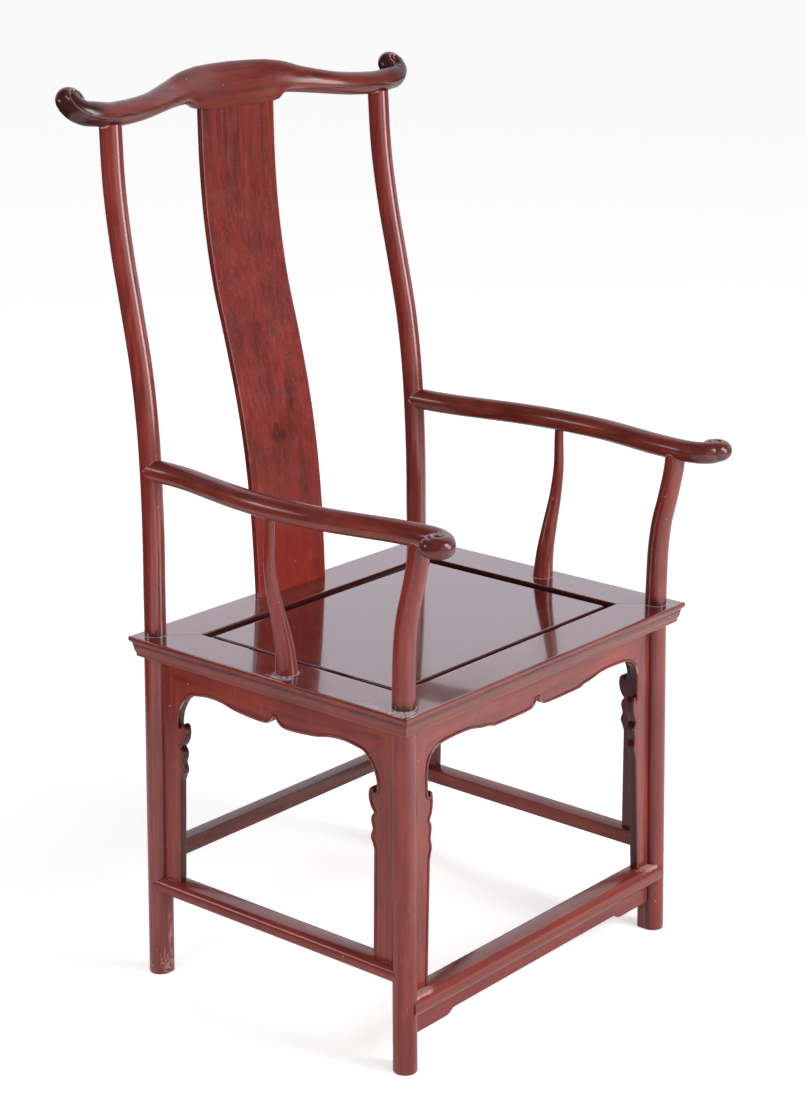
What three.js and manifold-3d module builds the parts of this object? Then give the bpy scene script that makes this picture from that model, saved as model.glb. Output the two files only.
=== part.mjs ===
// Open armchair with a yoke-shaped crest rail, in lacquered hardwood.
// Millimetres, +Z up, the front of the chair towards -Y, seen from the front left is -X.
// Every piece of timber is its own mesh, joined to its neighbours by tenons, tongues and mitres.
import * as THREE from 'three';
import { mergeVertices } from 'three/addons/utils/BufferGeometryUtils.js';
import Module from 'manifold-3d';

const wasm = await Module();
wasm.setup();

// Fits
const fit = 0.3;
const overrun = 6;

// Seat frame: four mitred rails with a moulded outer edge
const seatHeight = 500;
const seatWidth = 623;
const seatDepth = 490;
const railWidth = 70;
const railThickness = 29;
const mouldingSetback = 8.5;
// Outer edge from the top down: share of the setback, share of the rail's thickness
const mouldingShares = [
  [0, 0], [0, 0.2], [0.24, 0.26], [0.47, 0.345], [0.54, 0.52], [0.67, 0.69], [0.88, 0.86], [1, 1],
];
const mitreTenonWidth = 14;
const mitreTenonThickness = 8;
const mitreTenonReach = 24;
const mitreTenonInset = 10;

// Seat panel: a raised field inside a sunk border, with a tongue all round
const panelFieldDrop = 2.7;
const panelBorderDrop = 8.5;
const panelBorderWidth = 13.5;
const panelTongue = 7;
const panelTongueThickness = 6.5;
const panelEdgeSlope = 1.5;

// Battens under the panel, dovetailed into it
const battenInset = 151.5;
const battenWidth = 32;
const battenHeight = 24;
const dovetailHeight = 3;
const dovetailNeck = 16;
const dovetailFlare = 20;
const battenTenonThickness = 8;
const battenTenonLength = 16;

// Legs: round outside, square inside, splayed towards the floor
const legRadius = 16.2;
// How far the inner corner of a leg reaches, as a share of its radius: sharp in front, rounded behind
const frontCornerShare = 1.41;
const rearCornerShare = 1.18;
const footArris = 1.5;
// How far the middles of the posts stand inside the seat's outer edges
const postSideInset = 31;
const frontPostInset = 30;
const rearPostInset = 21.5;
// How far the feet stand outside the posts, and the rear feet in front of theirs
const footSideSplay = 5.7;
const frontFootSplay = 12.6;
const rearFootTuck = 2.7;
const postX = seatWidth / 2 - postSideInset;
const frontPostForward = seatDepth / 2 - frontPostInset;
const rearPostBack = seatDepth / 2 - rearPostInset;
const footX = postX + footSideSplay;
const frontFootForward = frontPostForward + frontFootSplay;
const rearFootBack = rearPostBack - rearFootTuck;

// Rear posts above the seat: how far they rise, lean inwards and sweep back
const backRise = 694;
const backLean = 10.5;
const backSweep = 74.5;
const crestHeight = seatHeight + backRise;
const crestPostX = postX - backLean;
const crestPostBack = rearPostBack + backSweep;
const rearPostRadius = 15.1;
const crestTenonRadius = 8;
const crestTenonRise = 8;
// Heights above the seat, and how far the posts and the splat have swept back there
const backHeightShares = [0, 0.086, 0.173, 0.288, 0.403, 0.519, 0.634, 0.749, 0.865, 1];
const postSweepShares = [0, 0.015, 0.02, 0.057, 0.132, 0.277, 0.503, 0.739, 0.912, 1];
const splatSweepShares = [0, 0.031, 0.074, 0.169, 0.316, 0.517, 0.738, 0.884, 0.965, 1];

// Splat, its front face set back from the middles of the rear posts
const splatSeatSetback = 1;
const splatCrestSetback = 26;
const splatFrontAtSeat = rearPostBack + splatSeatSetback;
const splatFrontAtCrest = crestPostBack + splatCrestSetback;
const splatThickness = 8.5;
const splatWidthAtSeat = 142;
const splatWidthAtCrest = 147;
const splatTongueThickness = 4.5;
const splatTongueDepth = 12;
const splatTongueInset = 6;

// Crest rail
const crestBow = 39;
const crestCentreBack = crestPostBack + crestBow;
const crestCentreRise = 18;
const crestEndRadius = 16.3;
const crestCentreHalfHeight = 29;
const crestCentreHalfDepth = 16;
// From the middle to the post: shares of the post's x, of the bow back, of the rise and of the headrest
const crestShares = [
  [0, 1, 1, 1], [0.14, 0.98, 1.07, 0.97], [0.26, 0.91, 1.13, 0.88], [0.36, 0.84, 1, 0.62],
  [0.48, 0.7, 0.66, 0.28], [0.593, 0.47, 0.43, 0.1], [0.704, 0.26, 0.22, 0], [0.815, 0.13, 0.07, 0],
  [0.926, 0.04, 0, 0],
];
// Headrest section, anticlockwise from the back: share of the half depth, share of the half height
const headrestSectionShares = [
  [1, 0], [0.95, 0.4], [0.78, 0.76], [0.5, 0.95], [0.15, 1], [-0.15, 0.93], [-0.45, 0.7], [-0.68, 0.4],
  [-0.85, 0], [-0.95, -0.5], [-1, -0.97], [-0.55, -1], [0, -1], [0.4, -0.92], [0.76, -0.7], [0.95, -0.36],
];
const crestKnobOut = 52;
const crestKnobBack = 18;
const crestKnobRise = 20;
const crestKnobRadius = 20;
const crestKnobThickness = 29;
const crestKnobTilt = 42 * Math.PI / 180;
// The curl of the crest rail round its knob: shares of the knob's radius, outwards and along its tilted face
const crestCurlShares = [[-1.2, -1.24], [-0.52, -1.1], [0.02, -0.68], [0.2, 0]];

// Arms
const armRise = 230;
const armHeight = seatHeight + armRise;
const armRadius = 15.2;
// How far the straight of the arm runs out past the front post
const armOverhang = 35;
const armFront = frontPostForward + armOverhang;
const armBow = 32.4;
const armTenonRadius = 6;
const armTenonLength = 14;
// From the rear post forwards: share of the arm's run, share of its bow
const armShares = [
  [0, 0], [0.035, 0.02], [0.1, 0.06], [0.166, 0.18], [0.27, 0.5], [0.374, 0.8], [0.479, 0.98], [0.56, 1],
  [0.687, 0.88], [0.791, 0.59], [0.895, 0.27], [1, 0.1],
];
// Middle of the knob, outwards and forwards of the front post
const armKnobOutset = 26.3;
const armKnobReach = 71.8;
const armKnobX = postX + armKnobOutset;
const armKnobForward = frontPostForward + armKnobReach;
const armKnobRadius = 22.5;
const armKnobHeight = 28;
const armKnobRise = 1.5;
const knobShoulder = 6;
const armCurlShares = [[-1.13, 0.95], [-0.92, 0.42], [-0.5, 0], [0, -0.1]];

// Goosenecks: the front posts above the seat
const neckRadius = 15.3;
const neckTopRadius = 14;
const neckSweep = 23.5;
const neckTopForward = frontPostForward + neckSweep;
const neckTenonRadius = 7;
const neckTenonRise = 8;
const neckHeightShares = [0, 0.174, 0.348, 0.522, 0.696, 0.87, 1];
const neckSweepShares = [0, 0, 0.03, 0.2, 0.58, 0.9, 1];

// Side posts
const sidePostInset = 1;
const sidePostBaseX = postX - sidePostInset;
const sidePostForward = 16.5;
const sidePostBaseRadius = 15;
const sidePostTopRadius = 6;
const sidePostOutset = 2;
const sidePostFootTenonRadius = 8;
const sidePostFootTenonLength = 18;
const sidePostHeadTenonRadius = 3.5;
const sidePostHeadTenonRise = 5;
const sidePostHeightShares = [0, 0.174, 0.348, 0.522, 0.696, 0.87, 1];
const sidePostSweepShares = [0, 0.145, 0.48, 0.84, 1.03, 1, 1];
const sidePostTaperShares = [0, 0.256, 0.478, 0.689, 0.833, 0.922, 1];

// Aprons and the strips under them
const apronThickness = 11;
const frontApronFaceOut = 1.5;
const sideApronFaceOut = 3;
const apronTongueThickness = 4;
const apronTongueDepth = 4;
const archDrop = 88;
// How far the arches end inside the middles of the posts
const frontArchInset = 45;
const sideArchInset = 46.25;
const frontArchHalf = postX - frontArchInset;
const sideArchHalf = (frontPostForward + rearPostBack) / 2 - sideArchInset;
const sideApronShift = 1.5;
const apronStubWidth = 50;
const apronStubRise = 8;
const apronStubSpreadShare = 0.5;
// Arch from the middle to the corner: share of the half width, share of the drop
const frontArchShares = [
  [0, 0.386], [0.03, 0.489], [0.051, 0.523], [0.072, 0.54], [0.361, 0.545], [0.412, 0.54], [0.446, 0.511],
  [0.514, 0.489], [0.616, 0.4375], [0.713, 0.426], [0.807, 0.432], [0.892, 0.4545], [0.934, 0.5],
  [0.962, 0.55],
];
const sideArchShares = [
  [0, 0.398], [0.035, 0.49], [0.087, 0.545], [0.26, 0.545], [0.324, 0.534], [0.428, 0.511], [0.526, 0.466],
  [0.624, 0.443], [0.7225, 0.443], [0.821, 0.4716], [0.884, 0.5], [0.925, 0.56],
];
// The arch's fall inside the strip, below the mitre
const frontFallShares = [[0.983, 0.62], [0.995, 0.72], [1, 0.88]];
const sideFallShares = [[0.966, 0.66], [0.994, 0.76], [1.015, 0.88]];
const frontEdgeOut = 0;
const sideEdgeOut = 4;
const frontLeafReach = 10;
const sideLeafReach = 14;
const frontLeafLength = 95;
const sideLeafLength = 84;
const frontLeafDrop = 98;
const sideLeafDrop = 88.5;
// Leaf from its notch down: share of its reach, share of its length
const leafShares = [
  [0, 0], [0.1, 0.065], [0.35, 0.065], [0.44, 0.012], [0.62, 0], [0.88, 0.035], [1, 0.12], [0.95, 0.22],
  [0.7, 0.33], [0.32, 0.41], [0.6, 0.47], [0.66, 0.55], [0.45, 0.68], [0.68, 0.82], [0.45, 0.91], [0.25, 1],
];
const frontStripInset = -5;
const sideStripInset = 2;
const backApronDrop = 45;

// Stretchers
const sideStretcherTop = 147;
const sideStretcherHeight = 21.5;
const sideStretcherArrisIn = 9;
const rearStretcherTop = 189;
const rearStretcherHeight = 23;
const rearStretcherDepth = 24;
const stretcherRound = 5;
const stretcherTenonThickness = 10;
const stretcherTenonHeight = 15;
const stretcherTenonLength = 18;
// Convex outer face from the top arris down: share of the swell, share of the height
const noseShares = [[0, 0], [0.55, 0.1], [0.86, 0.26], [1, 0.5], [0.86, 0.78], [0.5, 0.95], [0, 1]];

// Footrest and its apron
const footrestTop = 105;
const footrestHeight = 27;
const footrestProud = 2.6;
const footrestArrisIn = 8;
const footrestApronBottom = 45;
const footrestApronRise = 7;
const footrestApronEndWidth = 65;
const footrestApronOgee = 21;
const ogeeShares = [[0, 0], [0.5, 0.25], [0.75, 0.75], [1, 1]];

// Facets
const postSides = 16;
const knobSides = 24;
const curveSteps = 2;
const armSteps = 26;

// Heights and places that follow from the sizes above
const underside = seatHeight - railThickness;
const frontPost = {
  foot: new THREE.Vector2(footX, -frontFootForward),
  seat: new THREE.Vector2(postX, -frontPostForward),
  neck: neckRadius,
  cornerShare: frontCornerShare,
};
const rearPost = {
  foot: new THREE.Vector2(footX, rearFootBack),
  seat: new THREE.Vector2(postX, rearPostBack),
  neck: rearPostRadius,
  cornerShare: rearCornerShare,
};

const lacquer = { color: 0x6e332c, roughness: 0.25, metalness: 0 };
const redLacquer = { color: 0x83322a, roughness: 0.22, metalness: 0 };
const seatLacquer = { color: 0x5a2c29, roughness: 0.15, metalness: 0 };
const hiddenWood = { color: 0x7a5238, roughness: 0.7, metalness: 0 };

const mix = THREE.MathUtils.lerp;

// Centre of a splayed leg at a height
function legCentre(post, height) {
  return post.foot.clone().lerp(post.seat, height / underside);
}

// Solid from a three.js geometry, welded by position
function solidOf(geometry) {
  geometry.deleteAttribute('normal');
  geometry.deleteAttribute('uv');
  const welded = mergeVertices(geometry);
  return new wasm.Manifold(new wasm.Mesh({
    numProp: 3,
    vertProperties: new Float32Array(welded.attributes.position.array),
    triVerts: new Uint32Array(welded.index.array),
  }));
}

// Geometry from a solid
function geometryOf(solid) {
  const mesh = solid.getMesh();
  const geometry = new THREE.BufferGeometry();
  geometry.setAttribute('position', new THREE.BufferAttribute(new Float32Array(mesh.vertProperties), 3));
  geometry.setIndex(new THREE.BufferAttribute(new Uint32Array(mesh.triVerts), 1));
  geometry.computeVertexNormals();
  return geometry;
}

// Solid with walls between rings of points and flat ends, its faces turned outwards
function loft(rings, section) {
  const sides = rings[0].length;
  const circle = rings[0].map((point, index) => {
    const turn = 2 * Math.PI * index / sides;
    return new THREE.Vector2(Math.cos(turn), Math.sin(turn));
  });
  const given = section ?? circle;
  const backwards = THREE.ShapeUtils.isClockWise(given);
  const outline = backwards ? given.toReversed() : given;
  const points = rings.flatMap((points) => (backwards ? points.toReversed() : points));
  const last = (rings.length - 1) * sides;
  const triangles = [];
  for (let ring = 0; ring < rings.length - 1; ring += 1) {
    for (let side = 0; side < sides; side += 1) {
      const here = ring * sides + side;
      const beside = ring * sides + (side + 1) % sides;
      triangles.push([here, beside, beside + sides], [here, beside + sides, here + sides]);
    }
  }
  for (const [a, b, c] of THREE.ShapeUtils.triangulateShape(outline, [])) {
    triangles.push([a, c, b], [last + a, last + b, last + c]);
  }
  let volume = 0;
  for (const [a, b, c] of triangles) {
    volume += points[a].dot(points[b].clone().cross(points[c]));
  }
  const outward = volume > 0 ? triangles : triangles.map(([a, b, c]) => [a, c, b]);
  const geometry = new THREE.BufferGeometry().setFromPoints(points);
  geometry.setIndex(outward.flat());
  return solidOf(geometry);
}

// Ring of points round a centre, in the plane of two directions
function ring(centre, across, up, radius, sides = postSides) {
  return Array.from({ length: sides }, (unused, index) => {
    const turn = 2 * Math.PI * index / sides;
    return centre.clone()
      .addScaledVector(across, radius * Math.cos(turn))
      .addScaledVector(up, radius * Math.sin(turn));
  });
}

const alongX = new THREE.Vector3(1, 0, 0);
const alongY = new THREE.Vector3(0, 1, 0);
const alongZ = new THREE.Vector3(0, 0, 1);

function levelRing(x, y, z, radius) {
  return ring(new THREE.Vector3(x, y, z), alongX, alongY, radius);
}

// Ring of a leg: round, but with a corner in the quadrant that faces the middle of the chair
function legRing(post, centre, z, radius) {
  const inwardY = -Math.sign(post.seat.y);
  return Array.from({ length: postSides }, (unused, index) => {
    const turn = 2 * Math.PI * index / postSides;
    const cos = Math.cos(turn);
    const sin = Math.sin(turn);
    const inner = cos < 0 && sin * inwardY > 0;
    const square = Math.min(1 / Math.max(Math.abs(cos), Math.abs(sin)), post.cornerShare);
    const reach = inner ? radius * square : radius;
    return new THREE.Vector3(centre.x + reach * cos, centre.y + reach * sin, z);
  });
}

// Round bar between two points
function bar(from, to, radius, sides = postSides) {
  const direction = to.clone().sub(from).normalize();
  const across = Math.abs(direction.x) > Math.abs(direction.z) ? alongZ.clone() : alongX.clone();
  const up = direction.clone().cross(across).normalize();
  across.crossVectors(up, direction);
  return loft([ring(from, across, up, radius, sides), ring(to, across, up, radius, sides)]);
}

// Box between two corners
function block(low, high) {
  const size = high.clone().sub(low);
  const geometry = new THREE.BoxGeometry(size.x, size.y, size.z);
  const middle = low.clone().add(high).divideScalar(2);
  geometry.translate(middle.x, middle.y, middle.z);
  return solidOf(geometry);
}

// Box round a middle point, larger by a clearance all round
function blockAt(x, y, z, sizeX, sizeY, sizeZ, clearance = 0) {
  const half = new THREE.Vector3(sizeX, sizeY, sizeZ).divideScalar(2).addScalar(clearance);
  const middle = new THREE.Vector3(x, y, z);
  return block(middle.clone().sub(half), middle.clone().add(half));
}

// Flat board from an outline of width and height, put in place by a function of width, height and depth
function board(outline, from, to, place) {
  const shape = outline.map(([width, height]) => new THREE.Vector2(width, height));
  const rings = [from, to].map((depth) => shape.map((point) => place(point.x, point.y, depth)));
  return loft(rings, shape);
}

// Board that leans with the legs of the front or of the back, its depth measured inwards from its face
function placeAcross(post, faceOut) {
  const outward = Math.sign(post.seat.y);
  return (width, height, depth) => new THREE.Vector3(
    width,
    legCentre(post, height).y + outward * (faceOut - depth),
    height,
  );
}

// Board that leans with the legs of the right side
function placeAlong(width, height, depth) {
  const front = legCentre(frontPost, height);
  const rear = legCentre(rearPost, height);
  const share = (width - front.y) / (rear.y - front.y);
  return new THREE.Vector3(mix(front.x, rear.x, share) + sideApronFaceOut - depth, width, height);
}

// Inner faces of the legs, as the boards between them meet them
const innerX = (height) => legCentre(frontPost, height).x - legRadius;
const innerFrontY = (height) => legCentre(frontPost, height).y + legRadius;
const innerRearY = (height) => legCentre(rearPost, height).y - legRadius;

// Seat rails

const tongueTop = panelBorderDrop;
const tongueBottom = panelBorderDrop + panelTongueThickness;

// Cross-section of a rail: setback from the outer edge, height
function railSection() {
  const edge = mouldingShares.map(([setback, drop]) => [setback * mouldingSetback, drop * railThickness]);
  const grooveDepth = panelTongue + fit;
  const inner = [
    [railWidth, railThickness], [railWidth, tongueBottom + fit],
    [railWidth - grooveDepth, tongueBottom + fit], [railWidth - grooveDepth, tongueTop - fit],
    [railWidth, tongueTop - fit], [railWidth, 0],
  ];
  return [...edge, ...inner].map(([setback, drop]) => new THREE.Vector2(setback, seatHeight - drop));
}

// Rail with mitred ends: a point's place comes from its setback and which end it is at
function seatRail(place) {
  const section = railSection();
  return loft([-1, 1].map((end) => section.map((point) => place(point.x, point.y, end))), section);
}

const mitreStep = fit * Math.SQRT1_2;
const acrossRail = (side) => (setback, z, end) => new THREE.Vector3(
  end * (seatWidth / 2 - setback - mitreStep),
  side * (seatDepth / 2 - setback),
  z,
);
const sideRail = (setback, z, end) => new THREE.Vector3(
  seatWidth / 2 - setback,
  end * (seatDepth / 2 - setback - mitreStep),
  z,
);

// Tenon on the end of a front or rear rail, through the mitre into the side rail
function mitreTenon(side, end, clearance) {
  const setback = railWidth - mitreTenonInset - mitreTenonWidth / 2;
  const root = seatWidth / 2 - setback - mitreTenonWidth - overrun;
  const tip = seatWidth / 2 - setback + mitreTenonReach + clearance;
  return blockAt(
    end * (root + tip) / 2,
    side * (seatDepth / 2 - setback),
    underside + mitreTenonThickness,
    tip - root,
    mitreTenonWidth,
    mitreTenonThickness,
    clearance,
  );
}

// Hole for a post through the mitred corner
function postHole(post) {
  return loft([underside - overrun, seatHeight + overrun].map((z) => (
    levelRing(post.seat.x, post.seat.y, z, post.neck + fit)
  )));
}

// Stub tenons on the top edge of an apron
function stubTenons(place, spread, sizeX, sizeY, clearance) {
  return [-1, 1].map((end) => {
    const middle = place(end * spread, underside, apronThickness / 2);
    return blockAt(middle.x, middle.y, underside, sizeX, sizeY, 2 * apronStubRise, clearance);
  });
}

const frontApronPlace = placeAcross(frontPost, frontApronFaceOut);
const backApronPlace = placeAcross(rearPost, apronThickness / 2);
const acrossStubs = (place, clearance) => stubTenons(
  place, frontArchHalf * apronStubSpreadShare, apronStubWidth, apronTongueThickness, clearance,
);
const sideStubs = (clearance) => stubTenons(
  placeAlong, sideArchHalf * apronStubSpreadShare, apronTongueThickness, apronStubWidth, clearance,
);

// Tenons of a batten in the front and rear rails
const battenX = seatWidth / 2 - railWidth - battenInset;
const battenTop = seatHeight - tongueBottom - fit;
function battenTenon(side, clearance) {
  const inner = seatDepth / 2 - railWidth;
  return blockAt(
    battenX, side * inner, battenTop - fit - battenTenonThickness,
    battenWidth / 2, 2 * battenTenonLength, battenTenonThickness, clearance,
  );
}

function mirrored(solid) {
  return solid.mirror([1, 0, 0]);
}

function cutAll(solid, cutters) {
  return cutters.reduce((rest, cutter) => rest.subtract(cutter), solid);
}

function joinAll(solid, additions) {
  return additions.reduce((whole, addition) => whole.add(addition), solid);
}

const bothSides = (solid) => [solid, mirrored(solid)];

function frontRail() {
  const rail = seatRail(acrossRail(-1));
  const cut = cutAll(rail, [
    ...bothSides(postHole(frontPost)), ...acrossStubs(frontApronPlace, fit),
    ...bothSides(battenTenon(-1, fit)),
  ]);
  return joinAll(cut, bothSides(mitreTenon(-1, 1, 0)));
}

function rearRail() {
  const rail = seatRail(acrossRail(1));
  const cut = cutAll(rail, [
    ...bothSides(postHole(rearPost)), ...acrossStubs(backApronPlace, fit),
    ...bothSides(battenTenon(1, fit)),
    splatTongue(seatHeight - splatTongueDepth, seatHeight + overrun, fit),
  ]);
  return joinAll(cut, bothSides(mitreTenon(1, 1, 0)));
}

function rightRail() {
  return cutAll(seatRail(sideRail), [
    postHole(frontPost), postHole(rearPost), ...sideStubs(fit),
    mitreTenon(-1, 1, fit), mitreTenon(1, 1, fit),
    sidePostFootTenon(fit),
  ]);
}

// Seat panel

const openingHalf = new THREE.Vector2(seatWidth / 2 - railWidth, seatDepth / 2 - railWidth);

function panelRing(inset, drop) {
  return [[1, 1], [-1, 1], [-1, -1], [1, -1]].map(([signX, signY]) => new THREE.Vector3(
    signX * (openingHalf.x - inset),
    signY * (openingHalf.y - inset),
    seatHeight - drop,
  ));
}

// Dovetail ridge of a batten: wider at its top, in the underside of the panel
function dovetail(clearance) {
  const base = battenTop - overrun;
  const top = battenTop + dovetailHeight + clearance;
  const half = openingHalf.y - overrun + clearance;
  const outline = [
    [-dovetailNeck / 2 - clearance, base], [dovetailNeck / 2 + clearance, base],
    [dovetailNeck / 2 + clearance, battenTop],
    [dovetailFlare / 2 + clearance, top], [-dovetailFlare / 2 - clearance, top],
    [-dovetailNeck / 2 - clearance, battenTop],
  ];
  return board(outline, -half, half, (x, z, y) => new THREE.Vector3(battenX + x, y, z));
}

function seatPanel() {
  const field = panelBorderWidth;
  const panel = loft([
    panelRing(-panelTongue, tongueBottom),
    panelRing(-panelTongue, tongueTop),
    panelRing(field - panelEdgeSlope, tongueTop),
    panelRing(field, panelFieldDrop + panelEdgeSlope),
    panelRing(field + panelEdgeSlope, panelFieldDrop),
  ]);
  return cutAll(panel, bothSides(dovetail(fit)));
}

function batten() {
  const half = openingHalf.y - fit;
  const body = block(
    new THREE.Vector3(battenX - battenWidth / 2, -half, battenTop - battenHeight),
    new THREE.Vector3(battenX + battenWidth / 2, half, battenTop),
  );
  return joinAll(body, [dovetail(0), battenTenon(-1, 0), battenTenon(1, 0)]);
}

// Crest rail, arms and posts that meet them

// Smooth curve through points, sampled by steps between neighbours
function smooth(points, steps) {
  const curve = new THREE.CatmullRomCurve3(points);
  return curve.getPoints(steps * (points.length - 1));
}

const crestTilt = (share) => new THREE.Vector3(
  0, -Math.sin(crestKnobTilt * share), Math.cos(crestKnobTilt * share),
);
const crestKnobCentre = new THREE.Vector3(
  crestPostX + crestKnobOut, crestPostBack + crestKnobBack, crestHeight + crestKnobRise,
);
const crestKnobBackwards = alongX.clone().cross(crestTilt(1)).multiplyScalar(-1);

// Stations of the crest rail's right half: centre, headrest share and tilt share
function crestHalf() {
  const back = crestCentreBack - crestPostBack;
  const rail = crestShares.map(([x, bow, rise, head]) => ({
    centre: new THREE.Vector3(
      x * crestPostX, crestPostBack + bow * back, crestHeight + rise * crestCentreRise,
    ),
    head,
    tilt: 0,
  }));
  const post = { centre: new THREE.Vector3(crestPostX, crestPostBack, crestHeight), head: 0, tilt: 0.3 };
  const curl = crestCurlShares.map(([out, along]) => ({
    centre: crestKnobCentre.clone()
      .addScaledVector(alongX, out * crestKnobRadius)
      .addScaledVector(crestKnobBackwards, along * crestKnobRadius),
    head: 0,
    tilt: 1,
  }));
  return [...rail, post, ...curl];
}

// Section of the crest rail at a station, larger by a clearance
function crestRing(station, tangent, clearance) {
  const up = crestTilt(station.tilt);
  const backwards = up.clone().cross(tangent).normalize();
  up.crossVectors(tangent, backwards).normalize();
  return headrestSectionShares.map(([depth, height], index) => {
    const turn = 2 * Math.PI * index / headrestSectionShares.length;
    const round = crestEndRadius + clearance;
    const headDepth = depth * (crestCentreHalfDepth + clearance);
    const headHeight = height * (crestCentreHalfHeight + clearance);
    return station.centre.clone()
      .addScaledVector(backwards, mix(round * Math.cos(turn), headDepth, station.head))
      .addScaledVector(up, mix(round * Math.sin(turn), headHeight, station.head));
  });
}

function crestBody(clearance) {
  const stations = crestHalf();
  const centres = smooth(stations.map((station) => station.centre), curveSteps);
  const shapes = smooth(stations.map(({ head, tilt }) => new THREE.Vector3(head, tilt, 0)), curveSteps);
  const rings = centres.map((centre, index) => {
    const before = centres[Math.max(index - 1, 0)];
    const after = centres[Math.min(index + 1, centres.length - 1)];
    const tangent = index === 0 ? alongX : after.clone().sub(before).normalize();
    return crestRing({ centre, head: shapes[index].x, tilt: shapes[index].y }, tangent, clearance);
  });
  const half = loft(rings);
  return half.add(mirrored(half));
}

// Rounded drum at the middle of a curl
function drum(centre, axis, radius, thickness) {
  const half = thickness / 2;
  const profile = [
    [0, -half], [radius - knobShoulder, -half], [radius, knobShoulder - half],
    [radius, half - knobShoulder], [radius - knobShoulder, half], [0, half],
  ].map(([x, y]) => new THREE.Vector2(x, y));
  const geometry = new THREE.LatheGeometry(profile, knobSides);
  geometry.applyQuaternion(new THREE.Quaternion().setFromUnitVectors(alongY, axis));
  geometry.translate(centre.x, centre.y, centre.z);
  return solidOf(geometry);
}

function crestTenon(clearance) {
  const low = new THREE.Vector3(crestPostX, crestPostBack, crestHeight - crestEndRadius - overrun);
  const high = new THREE.Vector3(crestPostX, crestPostBack, crestHeight + crestTenonRise + clearance);
  return bar(low, high, crestTenonRadius + clearance);
}

function crestRail() {
  const knob = drum(crestKnobCentre, crestTilt(1), crestKnobRadius, crestKnobThickness);
  const whole = joinAll(crestBody(0), bothSides(knob));
  const splatBottom = splatTop - overrun;
  return cutAll(whole, [
    ...bothSides(crestTenon(fit)),
    splatTongue(splatBottom, splatTop + splatTongueDepth, fit),
  ]);
}

// Place of the splat's front face at a height above the seat
const splatFront = (share) => splatFrontAtSeat + share * (splatFrontAtCrest - splatFrontAtSeat);
const splatTop = crestHeight + crestCentreRise - crestCentreHalfHeight;

function splatRing(halfWidth, front, thickness, z) {
  return [[-1, 0], [1, 0], [1, 1], [-1, 1]].map(([side, back]) => new THREE.Vector3(
    side * halfWidth, front + back * thickness, z,
  ));
}

// Tongue at either end of the splat
function splatTongue(bottom, top, clearance) {
  const atSeat = bottom < (seatHeight + splatTop) / 2;
  const width = (atSeat ? splatWidthAtSeat : splatWidthAtCrest) - 2 * splatTongueInset;
  const front = atSeat ? splatFrontAtSeat : splatFrontAtCrest;
  const middle = front + splatThickness / 2;
  return blockAt(
    0, middle, (bottom + top) / 2, width, splatTongueThickness, top - bottom, clearance,
  );
}

function backSplat() {
  const rings = backHeightShares.map((share, index) => splatRing(
    mix(splatWidthAtSeat, splatWidthAtCrest, share) / 2,
    splatFront(splatSweepShares[index]),
    splatThickness,
    mix(seatHeight + fit, crestHeight, share),
  ));
  const body = loft(rings).subtract(crestBody(fit));
  return joinAll(body, [
    splatTongue(seatHeight - splatTongueDepth + fit, seatHeight + overrun, 0),
    splatTongue(splatTop - 2 * overrun, splatTop + splatTongueDepth - fit, 0),
  ]);
}

// Centreline of an arm, from the rear post to the knob
const rearPostAt = (height) => {
  const share = (height - seatHeight) / (crestHeight - seatHeight);
  const after = backHeightShares.findIndex((value) => value >= share);
  const low = backHeightShares[after - 1];
  const within = (share - low) / (backHeightShares[after] - low);
  const sweep = mix(postSweepShares[after - 1], postSweepShares[after], within);
  return new THREE.Vector3(
    mix(postX, crestPostX, share),
    mix(rearPostBack, crestPostBack, sweep),
    height,
  );
};
const armRoot = rearPostAt(armHeight);
const armKnobCentre = new THREE.Vector3(armKnobX, -armKnobForward, armHeight + armKnobRise);
const armRun = armRoot.y + armFront;
const armCentres = [
  ...armShares.map(([run, bow]) => new THREE.Vector3(
    armRoot.x + bow * armBow, armRoot.y - run * armRun, armHeight,
  )),
  ...armCurlShares.map(([out, back]) => new THREE.Vector3(
    armKnobX + out * armKnobRadius, -armKnobForward + back * armKnobRadius, armHeight,
  )),
];
const armCurve = new THREE.CatmullRomCurve3(armCentres);

// Where the arm's centreline passes a place from front to back
function armAt(y) {
  const points = armCurve.getPoints(armSteps * armCentres.length);
  return points.reduce((best, point) => (Math.abs(point.y - y) < Math.abs(best.y - y) ? point : best));
}

function armBody(clearance) {
  const centres = armCurve.getSpacedPoints(armSteps);
  const rings = centres.map((centre, index) => {
    const before = centres[Math.max(index - 1, 0)];
    const after = centres[Math.min(index + 1, centres.length - 1)];
    const tangent = after.clone().sub(before).normalize();
    const across = alongZ.clone().cross(tangent).normalize();
    return ring(centre, across, alongZ, armRadius + clearance);
  });
  return loft(rings);
}

function armTenon(clearance) {
  const face = armRoot.y - rearPostRadius;
  const from = new THREE.Vector3(armRoot.x, face - overrun, armHeight);
  const to = new THREE.Vector3(armRoot.x, face + armTenonLength + clearance, armHeight);
  return bar(from, to, armTenonRadius + clearance);
}

const neckTop = armAt(-neckTopForward);
function neckTenon(clearance) {
  const low = new THREE.Vector3(neckTop.x, neckTop.y, armHeight - armRadius - overrun);
  const high = new THREE.Vector3(neckTop.x, neckTop.y, armHeight + neckTenonRise + clearance);
  return bar(low, high, neckTenonRadius + clearance);
}

const sidePostHead = armAt(-sidePostForward);
const sidePostTop = new THREE.Vector3(sidePostHead.x + sidePostOutset, -sidePostForward, armHeight);
function sidePostHeadTenon(clearance) {
  const low = sidePostTop.clone().setZ(armHeight - armRadius - overrun);
  const high = sidePostTop.clone().setZ(armHeight + sidePostHeadTenonRise + clearance);
  return bar(low, high, sidePostHeadTenonRadius + clearance);
}

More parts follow.
